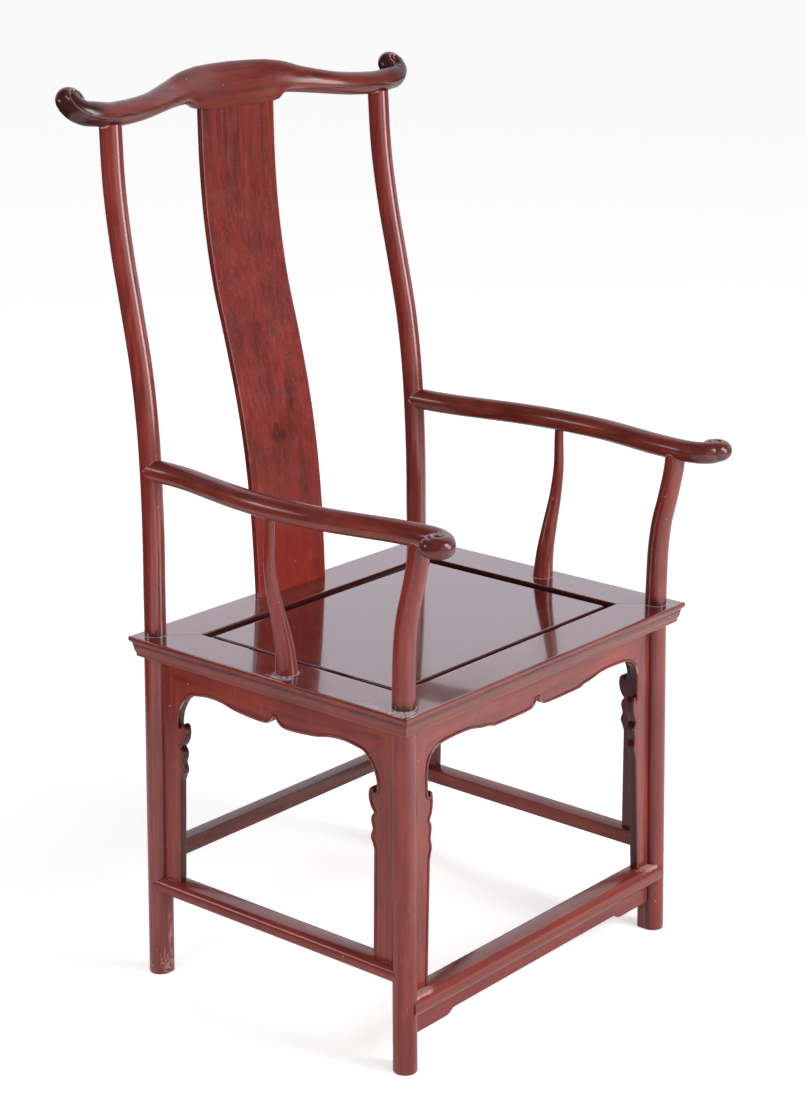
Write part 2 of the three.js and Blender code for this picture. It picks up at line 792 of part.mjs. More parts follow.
function sidePostFootTenon(clearance) {
  const bottom = seatHeight - sidePostFootTenonLength - clearance;
  const low = new THREE.Vector3(sidePostBaseX, -sidePostForward, bottom);
  const high = low.clone().setZ(seatHeight + overrun);
  return bar(low, high, sidePostFootTenonRadius + clearance);
}

function armrest() {
  const knob = drum(armKnobCentre, alongZ, armKnobRadius, armKnobHeight);
  const whole = armBody(0).subtract(rearPostUpper(fit)).add(knob);
  return cutAll(whole, [neckTenon(fit), sidePostHeadTenon(fit)]).add(armTenon(0));
}

function sidePost() {
  const rings = sidePostHeightShares.map((share, index) => levelRing(
    mix(sidePostBaseX, sidePostTop.x, sidePostSweepShares[index]),
    -sidePostForward,
    mix(seatHeight + fit, armHeight, share),
    mix(sidePostBaseRadius, sidePostTopRadius, sidePostTaperShares[index]),
  ));
  const body = loft(rings).subtract(armBody(fit));
  return joinAll(body, [sidePostFootTenon(0), sidePostHeadTenon(0)]);
}

// Rear post above the seat, larger by a clearance
function rearPostUpper(clearance) {
  const rings = backHeightShares.map((share, index) => levelRing(
    mix(postX, crestPostX, share),
    mix(rearPostBack, crestPostBack, postSweepShares[index]),
    mix(seatHeight, crestHeight, share),
    rearPostRadius + clearance,
  ));
  return loft(rings);
}

// Front post above the seat
function gooseneck() {
  const rings = neckHeightShares.map((share, index) => levelRing(
    mix(postX, neckTop.x, share),
    mix(-frontPostForward, neckTop.y, neckSweepShares[index]),
    mix(seatHeight, armHeight, share),
    mix(neckRadius, neckTopRadius, share),
  ));
  return loft(rings);
}

// Leg below the seat with its round neck through the frame
function legBody(post) {
  const shoulder = underside - fit;
  return loft([
    legRing(post, post.foot, 0, legRadius - footArris),
    legRing(post, legCentre(post, footArris), footArris, legRadius),
    legRing(post, legCentre(post, shoulder), shoulder, legRadius),
    levelRing(post.seat.x, post.seat.y, shoulder, post.neck),
    levelRing(post.seat.x, post.seat.y, seatHeight, post.neck),
  ]);
}

// Leg as the scribed shoulders of the stretchers meet it
function legCutter(post) {
  return loft([0, underside].map((z) => legRing(post, legCentre(post, z), z, legRadius + fit)));
}

// Stretchers, footrest and aprons

const sideStretcherMiddle = sideStretcherTop - sideStretcherHeight / 2;
const rearStretcherMiddle = rearStretcherTop - rearStretcherHeight / 2;
const footrestMiddle = footrestTop - footrestHeight / 2;

// Tenons in the legs at the two ends of a stretcher
function tenonAlong(post, middle, clearance) {
  const centre = legCentre(post, middle);
  const inward = -Math.sign(post.seat.y);
  const face = centre.y + inward * legRadius;
  const length = stretcherTenonLength;
  return blockAt(
    centre.x, face, middle,
    stretcherTenonThickness, 2 * length, stretcherTenonHeight, clearance,
  );
}

function tenonAcross(post, middle, clearance) {
  const centre = legCentre(post, middle);
  return blockAt(
    centre.x - legRadius, centre.y, middle,
    2 * stretcherTenonLength, stretcherTenonThickness, stretcherTenonHeight, clearance,
  );
}

// Section with a flat inner face and a convex outer face: depth outwards, height
function nosedSection(inner, arris, nose, top, height) {
  const outer = noseShares.map(([swell, drop]) => [mix(arris, nose, swell), top - drop * height]);
  return [[inner, top], ...outer, [inner, top - height]];
}

function sideStretcher() {
  const front = legCentre(frontPost, sideStretcherMiddle);
  const rear = legCentre(rearPost, sideStretcherMiddle);
  const nose = front.x + legRadius;
  const section = nosedSection(
    front.x - legRadius, nose - sideStretcherArrisIn, nose, sideStretcherTop, sideStretcherHeight,
  );
  const body = board(section, front.y, rear.y, (x, z, y) => new THREE.Vector3(x, y, z));
  return joinAll(cutAll(body, [legCutter(frontPost), legCutter(rearPost)]), [
    tenonAlong(frontPost, sideStretcherMiddle, 0), tenonAlong(rearPost, sideStretcherMiddle, 0),
  ]);
}

function footrestRail() {
  const leg = legCentre(frontPost, footrestMiddle);
  const nose = -leg.y + legRadius + footrestProud;
  const section = nosedSection(
    -leg.y - legRadius, nose - footrestArrisIn, nose, footrestTop, footrestHeight,
  );
  const body = board(section, -leg.x, leg.x, (out, z, x) => new THREE.Vector3(x, -out, z));
  const tenons = bothSides(tenonAcross(frontPost, footrestMiddle, 0));
  return joinAll(cutAll(body, bothSides(legCutter(frontPost))), tenons);
}

function rearStretcher() {
  const leg = legCentre(rearPost, rearStretcherMiddle);
  const half = rearStretcherDepth / 2;
  const top = rearStretcherTop;
  const bottom = rearStretcherTop - rearStretcherHeight;
  const round = stretcherRound;
  const section = [
    [leg.y - half, bottom], [leg.y + half - round, bottom], [leg.y + half, bottom + round],
    [leg.y + half, top - round], [leg.y + half - round, top], [leg.y - half, top],
  ];
  const body = board(section, -leg.x, leg.x, (y, z, x) => new THREE.Vector3(x, y, z));
  const tenons = bothSides(tenonAcross(rearPost, rearStretcherMiddle, 0));
  return joinAll(cutAll(body, bothSides(legCutter(rearPost))), tenons);
}

// Tongue along the edge of a board that meets a leg, or the groove for it
function edgeTongue(innerFace, outward, place, bottom, top, clearance) {
  const middle = apronThickness / 2;
  const half = apronTongueThickness / 2 + clearance;
  const reach = apronTongueDepth + clearance;
  const low = bottom - clearance;
  const high = top + clearance;
  const outline = [
    [innerFace(low) - outward * reach, low], [innerFace(low) + outward * reach, low],
    [innerFace(high) + outward * reach, high], [innerFace(high) - outward * reach, high],
  ];
  return board(outline, middle - half, middle + half, place);
}

// Half of an arch's outline from its middle, in width and height
function archPoints(shares, half, centre, side) {
  return shares.map(([width, drop]) => [centre + side * width * half, underside - drop * archDrop]);
}

const apronTop = underside - fit;

// Horizontal apron: its top edge runs between the legs, its ends are mitred
function apron(shares, half, centre, lowEnd, highEnd, place) {
  const right = archPoints(shares, half, centre, 1);
  const left = archPoints(shares, half, centre, -1).slice(1).reverse();
  const outline = [
    [lowEnd(apronTop) + fit, apronTop], ...left, ...right, [highEnd(apronTop) - fit, apronTop],
  ];
  return board(outline, 0, apronThickness, place);
}

function frontApron() {
  const body = apron(
    frontArchShares, frontArchHalf, 0, (z) => -innerX(z), innerX, frontApronPlace,
  );
  return joinAll(body, acrossStubs(frontApronPlace, 0));
}

function sideApron() {
  const body = apron(
    sideArchShares, sideArchHalf, sideApronShift, innerFrontY, innerRearY, placeAlong,
  );
  return joinAll(body, sideStubs(0));
}

function backApron() {
  const bottom = underside - backApronDrop;
  const outline = [
    [-innerX(bottom) + fit, bottom], [innerX(bottom) - fit, bottom],
    [innerX(apronTop) - fit, apronTop], [-innerX(apronTop) + fit, apronTop],
  ];
  const body = board(outline, 0, apronThickness, backApronPlace);
  return joinAll(body, [...acrossStubs(backApronPlace, 0), ...bothSides(backApronTongue(0))]);
}

function backApronTongue(clearance) {
  const bottom = underside - backApronDrop;
  return edgeTongue(innerX, 1, backApronPlace, bottom, apronTop - apronTongueDepth, clearance);
}

// Upright strip at the end of an arch, on the side that outward gives
function strip(arch, outward, place) {
  const corner = arch.shares.at(-1);
  const cornerWidth = arch.centre + outward * corner[0] * arch.half;
  const cornerHeight = underside - corner[1] * archDrop;
  const mitreShift = fit * Math.SQRT2;
  const mitreRun = Math.abs(arch.face(apronTop) - cornerWidth);
  const mitreRise = apronTop - cornerHeight;
  const topHeight = apronTop - (mitreShift + fit) * mitreRise / mitreRun;
  const edge = arch.centre + outward * (arch.half + arch.edgeOut);
  const fall = archPoints(arch.fall, arch.half, arch.centre, outward);
  const leaf = leafShares.map(([reach, drop]) => [
    edge - outward * reach * arch.leafReach, underside - arch.leafDrop - drop * arch.leafLength,
  ]);
  const foot = arch.bottom + fit;
  const outline = [
    [cornerWidth + outward * mitreShift, cornerHeight], ...fall, ...leaf,
    [edge - outward * arch.footInset, foot],
    [arch.face(foot) - outward * fit, foot],
    [arch.face(topHeight) - outward * fit, topHeight],
  ];
  const body = board(outline, 0, apronThickness, place);
  return body.add(stripTongue(arch, outward, place, 0));
}

function stripTongue(arch, outward, place, clearance) {
  const bottom = arch.bottom + apronTongueDepth;
  const top = underside - archDrop / 2;
  return edgeTongue(arch.face, outward, place, bottom, top, clearance);
}

const frontArch = {
  shares: frontArchShares,
  fall: frontFallShares,
  half: frontArchHalf,
  centre: 0,
  face: innerX,
  edgeOut: frontEdgeOut,
  leafReach: frontLeafReach,
  leafLength: frontLeafLength,
  leafDrop: frontLeafDrop,
  footInset: frontStripInset,
  bottom: footrestTop,
};
const sideArch = {
  shares: sideArchShares,
  fall: sideFallShares,
  half: sideArchHalf,
  centre: sideApronShift,
  edgeOut: sideEdgeOut,
  leafReach: sideLeafReach,
  leafLength: sideLeafLength,
  leafDrop: sideLeafDrop,
  footInset: sideStripInset,
  bottom: sideStretcherTop,
};
const sideArchFront = { ...sideArch, face: innerFrontY };
const sideArchRear = { ...sideArch, face: innerRearY };

function footrestApron() {
  const bottom = footrestApronBottom;
  const top = footrestTop - footrestHeight - fit;
  const ogeeStart = innerX(bottom) - footrestApronEndWidth;
  const ogee = (side) => ogeeShares.map(([run, rise]) => [
    side * (ogeeStart - run * footrestApronOgee), bottom + rise * footrestApronRise,
  ]);
  const outline = [
    [-innerX(bottom) + fit, bottom], ...ogee(-1), ...ogee(1).reverse(), [innerX(bottom) - fit, bottom],
    [innerX(top) - fit, top], [-innerX(top) + fit, top],
  ];
  const body = board(outline, 0, apronThickness, frontApronPlace);
  return joinAll(body, bothSides(footrestApronTongue(0)));
}

function footrestApronTongue(clearance) {
  const bottom = footrestApronBottom + apronTongueDepth;
  const top = footrestTop - footrestHeight - apronTongueDepth;
  return edgeTongue(innerX, 1, frontApronPlace, bottom, top, clearance);
}

// Whole front post: leg, neck through the frame and gooseneck in one timber
function frontPostSolid() {
  const whole = legBody(frontPost).add(gooseneck()).subtract(armBody(fit)).add(neckTenon(0));
  return cutAll(whole, [
    tenonAlong(frontPost, sideStretcherMiddle, fit),
    tenonAcross(frontPost, footrestMiddle, fit),
    stripTongue(frontArch, 1, frontApronPlace, fit),
    stripTongue(sideArchFront, -1, placeAlong, fit),
    footrestApronTongue(fit),
  ]);
}

// Whole rear post: leg and back post in one timber
function rearPostSolid() {
  const whole = legBody(rearPost).add(rearPostUpper(0)).subtract(crestBody(fit)).add(crestTenon(0));
  return cutAll(whole, [
    armTenon(fit),
    tenonAlong(rearPost, sideStretcherMiddle, fit),
    tenonAcross(rearPost, rearStretcherMiddle, fit),
    stripTongue(sideArchRear, 1, placeAlong, fit),
    backApronTongue(fit),
  ]);
}

// Assembly

const chair = new THREE.Group();
const frontReach = armKnobForward + armKnobRadius;
const backReach = crestCentreBack + crestCentreHalfDepth;
chair.position.y = (frontReach - backReach) / 2;

function addPiece(name, solid, finish, anchor) {
  const geometry = geometryOf(solid);
  geometry.translate(-anchor.x, -anchor.y, -anchor.z);
  const mesh = new THREE.Mesh(geometry, new THREE.MeshStandardMaterial(finish));
  mesh.name = name;
  mesh.position.copy(anchor);
  chair.add(mesh);
}

// The same piece on the right and mirrored on the left
function addPair(name, solid, finish, anchor) {
  addPiece(`right_${name}`, solid, finish, anchor);
  addPiece(`left_${name}`, mirrored(solid), finish, anchor.clone().multiply(new THREE.Vector3(-1, 1, 1)));
}

const at = (x, y, z) => new THREE.Vector3(x, y, z);

addPiece('front_seat_rail', frontRail(), lacquer, at(0, -seatDepth / 2, seatHeight));
addPiece('rear_seat_rail', rearRail(), lacquer, at(0, seatDepth / 2, seatHeight));
addPair('seat_rail', rightRail(), lacquer, at(seatWidth / 2, 0, seatHeight));
addPiece('seat_panel', seatPanel(), seatLacquer, at(0, 0, seatHeight));
addPair('seat_batten', batten(), hiddenWood, at(battenX, 0, battenTop));
addPair('front_post', frontPostSolid(), lacquer, at(footX, -frontFootForward, 0));
addPair('rear_post', rearPostSolid(), lacquer, at(footX, rearFootBack, 0));
addPiece('crest_rail', crestRail(), lacquer, at(0, crestCentreBack, crestHeight));
addPiece('back_splat', backSplat(), redLacquer, at(0, splatFrontAtSeat, seatHeight));
addPair('armrest', armrest(), lacquer, armRoot);
addPair('side_post', sidePost(), lacquer, at(sidePostBaseX, -sidePostForward, seatHeight));
addPiece('front_apron', frontApron(), lacquer, at(0, -frontPostForward, underside));
addPiece('back_apron', backApron(), lacquer, at(0, rearPostBack, underside));
addPair('apron', sideApron(), lacquer, at(postX, sideApronShift, underside));
const frontStrip = strip(frontArch, 1, frontApronPlace);
addPiece('front_right_strip', frontStrip, lacquer, at(postX, -frontPostForward, footrestTop));
addPiece('front_left_strip', mirrored(frontStrip), lacquer, at(-postX, -frontPostForward, footrestTop));
const sideFrontStrip = strip(sideArchFront, -1, placeAlong);
addPair('front_strip', sideFrontStrip, lacquer, at(postX, -frontPostForward, sideStretcherTop));
const sideRearStrip = strip(sideArchRear, 1, placeAlong);
addPair('rear_strip', sideRearStrip, lacquer, at(postX, rearPostBack, sideStretcherTop));
addPair('stretcher', sideStretcher(), lacquer, at(footX, 0, sideStretcherMiddle));
addPiece('rear_stretcher', rearStretcher(), lacquer, at(0, rearFootBack, rearStretcherMiddle));
addPiece('footrest_rail', footrestRail(), lacquer, at(0, -frontFootForward, footrestMiddle));
addPiece('footrest_apron', footrestApron(), lacquer, at(0, -frontFootForward, footrestApronBottom));

export default chair;
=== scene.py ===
"""Finish model of a yoke-backed open armchair in reddish-brown lacquered hardwood.

Sizes are millimetres in the chair's own frame: +Z up, the front towards -Y, left is -X.
"""

import logging
import math
from dataclasses import dataclass, replace
from enum import Enum
from typing import Any, Callable, Iterable, Sequence

import bpy
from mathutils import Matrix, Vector


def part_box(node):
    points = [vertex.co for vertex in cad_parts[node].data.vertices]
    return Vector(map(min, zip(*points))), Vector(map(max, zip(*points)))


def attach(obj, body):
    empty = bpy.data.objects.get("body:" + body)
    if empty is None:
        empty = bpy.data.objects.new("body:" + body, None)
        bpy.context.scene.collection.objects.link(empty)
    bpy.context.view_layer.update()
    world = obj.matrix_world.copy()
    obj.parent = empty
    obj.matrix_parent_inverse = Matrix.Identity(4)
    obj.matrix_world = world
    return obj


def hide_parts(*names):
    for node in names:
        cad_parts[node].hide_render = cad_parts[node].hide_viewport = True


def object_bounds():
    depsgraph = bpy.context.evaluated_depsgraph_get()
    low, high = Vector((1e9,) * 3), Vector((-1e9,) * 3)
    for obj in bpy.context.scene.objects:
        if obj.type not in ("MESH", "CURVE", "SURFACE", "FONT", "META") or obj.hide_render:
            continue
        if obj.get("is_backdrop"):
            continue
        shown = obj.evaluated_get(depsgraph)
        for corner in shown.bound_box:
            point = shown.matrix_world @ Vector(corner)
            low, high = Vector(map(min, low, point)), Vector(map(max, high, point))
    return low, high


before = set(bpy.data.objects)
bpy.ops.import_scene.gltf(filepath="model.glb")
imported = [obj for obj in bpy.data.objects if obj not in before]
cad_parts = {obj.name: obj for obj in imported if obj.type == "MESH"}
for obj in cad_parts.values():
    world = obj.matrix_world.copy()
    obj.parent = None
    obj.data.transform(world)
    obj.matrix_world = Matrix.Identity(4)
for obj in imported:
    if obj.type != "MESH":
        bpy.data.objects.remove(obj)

logging.basicConfig(level=logging.INFO, format="%(message)s")
log = logging.getLogger("armchair")

MM = 0.001
BODY = "root"
SEAT_DEPTH = 490.0

# The chair's middle lies a little behind the middle of its seat, so the seat's front edge gives the shift
SHIFT = Vector((0.0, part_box("front_seat_rail")[0].y / MM + SEAT_DEPTH / 2, 0.0))

ALONG_X = Vector((1.0, 0.0, 0.0))
ALONG_Y = Vector((0.0, 1.0, 0.0))
ALONG_Z = Vector((0.0, 0.0, 1.0))

# How far a carved board runs on into the timber that holds it
SINK = 1.0

# Sine of the turn from which a corner counts as sharp, and the least cosine that a corner is drawn in by
CORNER_SINE = 0.2
CORNER_COSINE = 0.625

Piece = bpy.types.Object
Tree = bpy.types.NodeTree
Socket = bpy.types.NodeSocket
Ring = list[Vector]
Outline = list[tuple[float, float]]
Shares = tuple[tuple[float, ...], ...]
Marks = dict[str, Callable[[int, int], float]]

# Puts a setback, drop, end and distance back from the mitre on a seat rail
RailPlace = Callable[[float, float, int, float], Vector]


class Axis(Enum):
    """Direction that a timber's grain, or a round timber, runs in."""

    X = 0
    Y = 1
    Z = 2

    def across(self) -> Vector:
        """Mask that keeps the two directions across this one."""
        return Vector([0.0 if index == self.value else 1.0 for index in range(3)])


def lerp(start: float, stop: float, share: float) -> float:
    """Value between two others at a share of the way."""
    return start + (stop - start) * share


def ease(low: float, high: float, value: float) -> float:
    """Smooth step from 0 at low to 1 at high."""
    share = min(max((value - low) / (high - low), 0.0), 1.0)
    return share * share * (3.0 - 2.0 * share)


def placed(point: Vector) -> Vector:
    """Place in metres, in the frame's axes, of a point of the chair in millimetres."""
    return (point + SHIFT) * MM


def smooth(points: Sequence[Vector], steps: int) -> Ring:
    """Run a centripetal curve through points.

    Args:
        points: The points that the curve passes, in order.
        steps: How many steps lie between two neighbours.

    Returns:
        The points of the curve, both ends included.
    """
    ends = [2 * points[0] - points[1], *points, 2 * points[-1] - points[-2]]
    curve = []
    for before, start, stop, after in zip(ends, ends[1:], ends[2:], ends[3:]):
        gaps = [max((b - a).length, MM) ** 0.5 for a, b in ((before, start), (start, stop), (stop, after))]
        span = (stop - start) / gaps[1]
        leave = (start - before) / gaps[0] - (stop - before) / (gaps[0] + gaps[1]) + span
        arrive = span - (after - start) / (gaps[1] + gaps[2]) + (after - stop) / gaps[2]
        leave *= gaps[1]
        arrive *= gaps[1]
        for step in range(steps):
            t = step / steps
            square = t * t
            cube = square * t
            point = start * (2 * cube - 3 * square + 1) + leave * (cube - 2 * square + t)
            curve.append(point + stop * (3 * square - 2 * cube) + arrive * (cube - square))
    curve.append(points[-1].copy())
    return curve


def evenly(points: Sequence[Vector], count: int) -> Ring:
    """Spread a number of points at equal steps along a line of points.

    Args:
        points: The line.
        count: How many points to return.

    Returns:
        The spread points, both ends included.
    """
    lengths = [0.0]
    for start, stop in zip(points, points[1:]):
        lengths.append(lengths[-1] + (stop - start).length)
    spread = []
    index = 0
    for number in range(count):
        goal = lengths[-1] * number / (count - 1)
        while index < len(points) - 2 and lengths[index + 1] < goal:
            index += 1
        share = (goal - lengths[index]) / max(lengths[index + 1] - lengths[index], MM)
        spread.append(points[index].lerp(points[index + 1], min(share, 1.0)))
    return spread


def tangents(points: Sequence[Vector]) -> Ring:
    """Direction of a line of points at each of them.

    Args:
        points: The line.

    Returns:
        The unit directions.
    """
    last = len(points) - 1
    return [(points[min(i + 1, last)] - points[max(i - 1, 0)]).normalized() for i in range(last + 1)]


def round_ring(centre: Vector, across: Vector, up: Vector, radius: float, sides: int) -> Ring:
    """Ring of points round a centre.

    Args:
        centre: Middle of the ring.
        across: First direction of its plane.
        up: Second direction of its plane.
        radius: Radius of the ring.
        sides: Number of points.

    Returns:
        The points, anticlockwise from the first direction.
    """
    turns = [2 * math.pi * side / sides for side in range(sides)]
    return [centre + across * (radius * math.cos(t)) + up * (radius * math.sin(t)) for t in turns]


def flat_curve(points: Iterable[Sequence[float]], steps: int) -> Outline:
    """Smooth flat line through points.

    Args:
        points: The points of width and height.
        steps: How many steps lie between two neighbours.

    Returns:
        The line's points.
    """
    return [(point.x, point.y) for point in smooth([Vector((x, y, 0.0)) for x, y in points], steps)]


def inset(outline: Outline, amount: float, held: Sequence[int] = ()) -> Outline:
    """Draw a closed outline in by an amount along its normals.

    Args:
        outline: Points of width and height, in order.
        amount: How far every edge moves inwards.
        held: Numbers of the edges that stay in line, each from its point to the next.

    Returns:
        The points of the smaller outline.
    """
    count = len(outline)
    area = sum(
        outline[i - 1][0] * outline[i][1] - outline[i][0] * outline[i - 1][1] for i in range(count)
    )
    turn = math.copysign(1.0, area)
    drawn = []
    for index, (x, y) in enumerate(outline):
        before = outline[index - 1]
        after = outline[(index + 1) % count]
        first = Vector((x - before[0], y - before[1])).normalized()
        second = Vector((after[0] - x, after[1] - y)).normalized()
        pulls = [0.0 if edge in held else amount for edge in ((index - 1) % count, index)]
        cross = first.x * second.y - first.y * second.x
        if abs(cross) > CORNER_SINE and pulls[0] != pulls[1]:
            move = (first * pulls[1] - second * pulls[0]) * (turn / cross)
        else:
            along = (first + second).normalized() if (first + second).length > MM else first
            reach = max(pulls) / max(first.dot(along), CORNER_COSINE)
            move = Vector((-along.y, along.x)) * (turn * reach)
        drawn.append((x + move.x, y + move.y))
    return drawn


def select_only(*pieces: Piece) -> None:
    """Select pieces alone.

    Args:
        *pieces: The pieces, of which the first becomes the active one.
    """
    bpy.ops.object.select_all(action="DESELECT")
    for piece in pieces:
        piece.select_set(True)
    bpy.context.view_layer.objects.active = pieces[0]


def loft(name: str, rings: Sequence[Ring], smoothing: float = 40.0, marks: Marks | None = None) -> Piece:
    """Model a timber by extruding a ring from station to station and closing both ends.

    Args:
        name: Name of the piece.
        rings: The stations' rings of points, in the chair's millimetres.
        smoothing: Largest angle between faces that still shade as one, in degrees.
        marks: For each attribute to write, its value by the ring's and the point's number.

    Returns:
        The piece, a closed mesh with its faces pointing out.
    """
    bpy.ops.object.select_all(action="DESELECT")
    bpy.ops.mesh.primitive_circle_add(vertices=len(rings[0]), radius=MM, fill_type="NOTHING")
    piece = bpy.context.object
    piece.name = name
    piece.data.name = name
    bpy.ops.object.mode_set(mode="EDIT")
    bpy.ops.mesh.select_all(action="SELECT")
    for _ in rings[1:]:
        bpy.ops.mesh.extrude_region_move(TRANSFORM_OT_translate={"value": (0.0, 0.0, MM)})
    bpy.ops.object.mode_set(mode="OBJECT")
    places = [value for ring in rings for point in ring for value in placed(point)]
    piece.data.vertices.foreach_set("co", places)
    for mark, strength in (marks or {}).items():
        layer = piece.data.attributes.new(name=mark, type="FLOAT", domain="POINT")
        numbers = [(index, side) for index in range(len(rings)) for side in range(len(rings[0]))]
        layer.data.foreach_set("value", [strength(*number) for number in numbers])
    bpy.ops.object.mode_set(mode="EDIT")
    bpy.ops.mesh.select_all(action="SELECT")
    bpy.ops.mesh.fill_holes(sides=0)
    bpy.ops.mesh.normals_make_consistent(inside=False)
    bpy.ops.object.mode_set(mode="OBJECT")
    bpy.ops.object.shade_smooth_by_angle(angle=math.radians(smoothing))
    return piece


def paint(piece: Piece, name: str, strength: Callable[[Vector], float]) -> None:
    """Write an attribute of the piece's points.

    Args:
        piece: The piece.
        name: Name of the attribute.
        strength: Gives the value at a place of the chair in millimetres.
    """
    layer = piece.data.attributes.new(name=name, type="FLOAT", domain="POINT")
    values = [strength(vertex.co / MM - SHIFT) for vertex in piece.data.vertices]
    layer.data.foreach_set("value", values)


def join(whole: Piece, *parts: Piece) -> Piece:
    """Join carved parts to the piece that they belong to.

    Args:
        whole: The piece.
        *parts: The parts, which end as pieces of their own.

    Returns:
        The piece.
    """
    select_only(whole, *parts)
    bpy.ops.object.join()
    return whole


def mirrored(piece: Piece, name: str) -> Piece:
    """Copy a piece of the right side to the left.

    Args:
        piece: The piece to copy.
        name: Name of the copy.

    Returns:
        The copy, with its own mesh turned outwards again.
    """
    select_only(piece)
    bpy.ops.object.duplicate()
    twin = bpy.context.object
    twin.name = name
    twin.data.name = name
    bpy.ops.object.mode_set(mode="EDIT")
    bpy.ops.mesh.select_all(action="SELECT")
    bpy.ops.transform.resize(value=(-1.0, 1.0, 1.0), center_override=(0.0, 0.0, 0.0))
    bpy.ops.mesh.normals_make_consistent(inside=False)
    bpy.ops.object.mode_set(mode="OBJECT")
    return twin


def linear(code: str) -> tuple[float, float, float, float]:
    """Turn a colour to linear, as the sRGB standard says.

    Args:
        code: Its sRGB hex value, such as 7A3A35.

    Returns:
        The linear red, green and blue, and a full alpha.
    """
    channels = [int(code[index:index + 2], 16) / 255 for index in (0, 2, 4)]
    red, green, blue = [c / 12.92 if c <= 0.04045 else ((c + 0.055) / 1.055) ** 2.4 for c in channels]
    return red, green, blue, 1.0


def add_node(
    tree: Tree, kind: str, inputs: dict[int | str, Any] | None = None, **settings: Any,
) -> bpy.types.Node:
    """Add a node to a tree.

    Args:
        tree: The tree.
        kind: The node's type.
        inputs: Value or linked output for each input, by its name or number.
        **settings: The node's own settings.

    Returns:
        The node.
    """
    node = tree.nodes.new(kind)
    for name, value in settings.items():
        setattr(node, name, value)
    for key, value in (inputs or {}).items():
        if isinstance(value, Socket):
            tree.links.new(value, node.inputs[key])
        else:
            node.inputs[key].default_value = value
    return node


@dataclass(frozen=True)
class Residue:
    """Pale residue on a surface, round a middle."""

    centre: Vector

    def amount(self, tree: Tree, place: Socket) -> Socket:
        """Amount of residue at a place, which each kind works out in its own way."""
        raise NotImplementedError

    def offset(self, tree: Tree, place: Socket) -> Socket:
        """Way from the residue's middle to a place."""
        middle = placed(self.centre)
        return add_node(tree, "ShaderNodeVectorMath", {0: place, 1: middle}, operation="SUBTRACT").outputs[0]

    def mirrored(self) -> "Residue":
        """The same residue on the other side of the chair."""
        return replace(self, centre=Vector((-self.centre.x, *self.centre.yz)))


@dataclass(frozen=True)
class JointLine(Residue):
    """Pale line of old glue and wax where a round timber meets the surface."""

    axis: Axis
    radius: float
    width: float = 1.6
    reach: float = 42.0
    strength: float = 0.8

    def amount(self, tree: Tree, place: Socket) -> Socket:
        """Amount of residue at a place.

        Args:
            tree: The material's tree.
            place: The place on the piece.

        Returns:
            The amount, most at the timber's own radius.
        """
        offset = self.offset(tree, place)
        flat = add_node(tree, "ShaderNodeVectorMath", {0: offset, 1: self.axis.across()}, operation="MULTIPLY")
        gap = add_node(tree, "ShaderNodeVectorMath", {0: flat.outputs[0]}, operation="LENGTH")
        band = add_node(
            tree, "ShaderNodeMapRange",
            {"Value": gap.outputs["Value"], "From Min": self.radius * MM,
             "From Max": (self.radius + self.width) * MM, "To Min": self.strength, "To Max": 0.0},
        )
        far = add_node(tree, "ShaderNodeVectorMath", {0: offset}, operation="LENGTH")
        near = add_node(
            tree, "ShaderNodeMath", {0: far.outputs["Value"], 1: self.reach * MM}, operation="LESS_THAN",
        )
        return add_node(
            tree, "ShaderNodeMath", {0: band.outputs[0], 1: near.outputs[0]}, operation="MULTIPLY",
        ).outputs[0]


@dataclass(frozen=True)
class Smear(Residue):
    """Patch of dried polish or scuffing: its half sizes, its density, and the share of it that is full."""

    reach: Vector
    strength: float = 0.5
    core_share: float = 0.4

    def amount(self, tree: Tree, place: Socket) -> Socket:
        """Amount of residue at a place.

        Args:
            tree: The material's tree.
            place: The place on the piece.

        Returns:
            The amount, full in the middle and none at the half sizes.
        """
        shares = add_node(
            tree, "ShaderNodeVectorMath", {0: self.offset(tree, place), 1: self.reach * MM}, operation="DIVIDE",
        )
        gap = add_node(tree, "ShaderNodeVectorMath", {0: shares.outputs[0]}, operation="LENGTH")
        return add_node(
            tree, "ShaderNodeMapRange",
            {"Value": gap.outputs["Value"], "From Min": self.core_share, "From Max": 1.0,
             "To Min": self.strength, "To Max": 0.0},
        ).outputs[0]


@dataclass(frozen=True)
class Scuff(Smear):
    """Patch of straight scratches that cross, drawn a few times as wide as real ones so that they show."""

    width: float = 0.9
    length: float = 26.0
    low: float = 0.63
    high: float = 0.7
    ways: tuple[tuple[float, float, float], ...] = ((0.6, 0.35, 0.0), (-0.75, 0.2, 0.5), (0.15, -0.5, 0.3))

    def amount(self, tree: Tree, place: Socket) -> Socket:
        """Amount of scratching at a place.

        Args:
            tree: The material's tree.
            place: The place on the piece.

        Returns:
            The amount, on thin strokes inside the patch.
        """
        spread = super().amount(tree, place)
        strokes = add_node(tree, "ShaderNodeMath", {0: 0.0, 1: 0.0}, operation="ADD").outputs[0]
        scale = [1 / (size * MM) for size in (self.width, self.width, self.length)]
        for way in self.ways:
            turned = add_node(tree, "ShaderNodeMapping", {"Vector": place, "Rotation": way, "Scale": scale})
            noise = add_node(
                tree, "ShaderNodeTexNoise", {"Vector": turned.outputs[0], "Scale": 1.0, "Detail": 1.0},
            )
            thin = add_node(
                tree, "ShaderNodeMapRange",
                {"Value": noise.outputs["Fac"], "From Min": self.low, "From Max": self.high},
            )
            strokes = add_node(
                tree, "ShaderNodeMath", {0: strokes, 1: thin.outputs[0]}, operation="MAXIMUM",
            ).outputs[0]
        return add_node(tree, "ShaderNodeMath", {0: spread, 1: strokes}, operation="MULTIPLY").outputs[0]


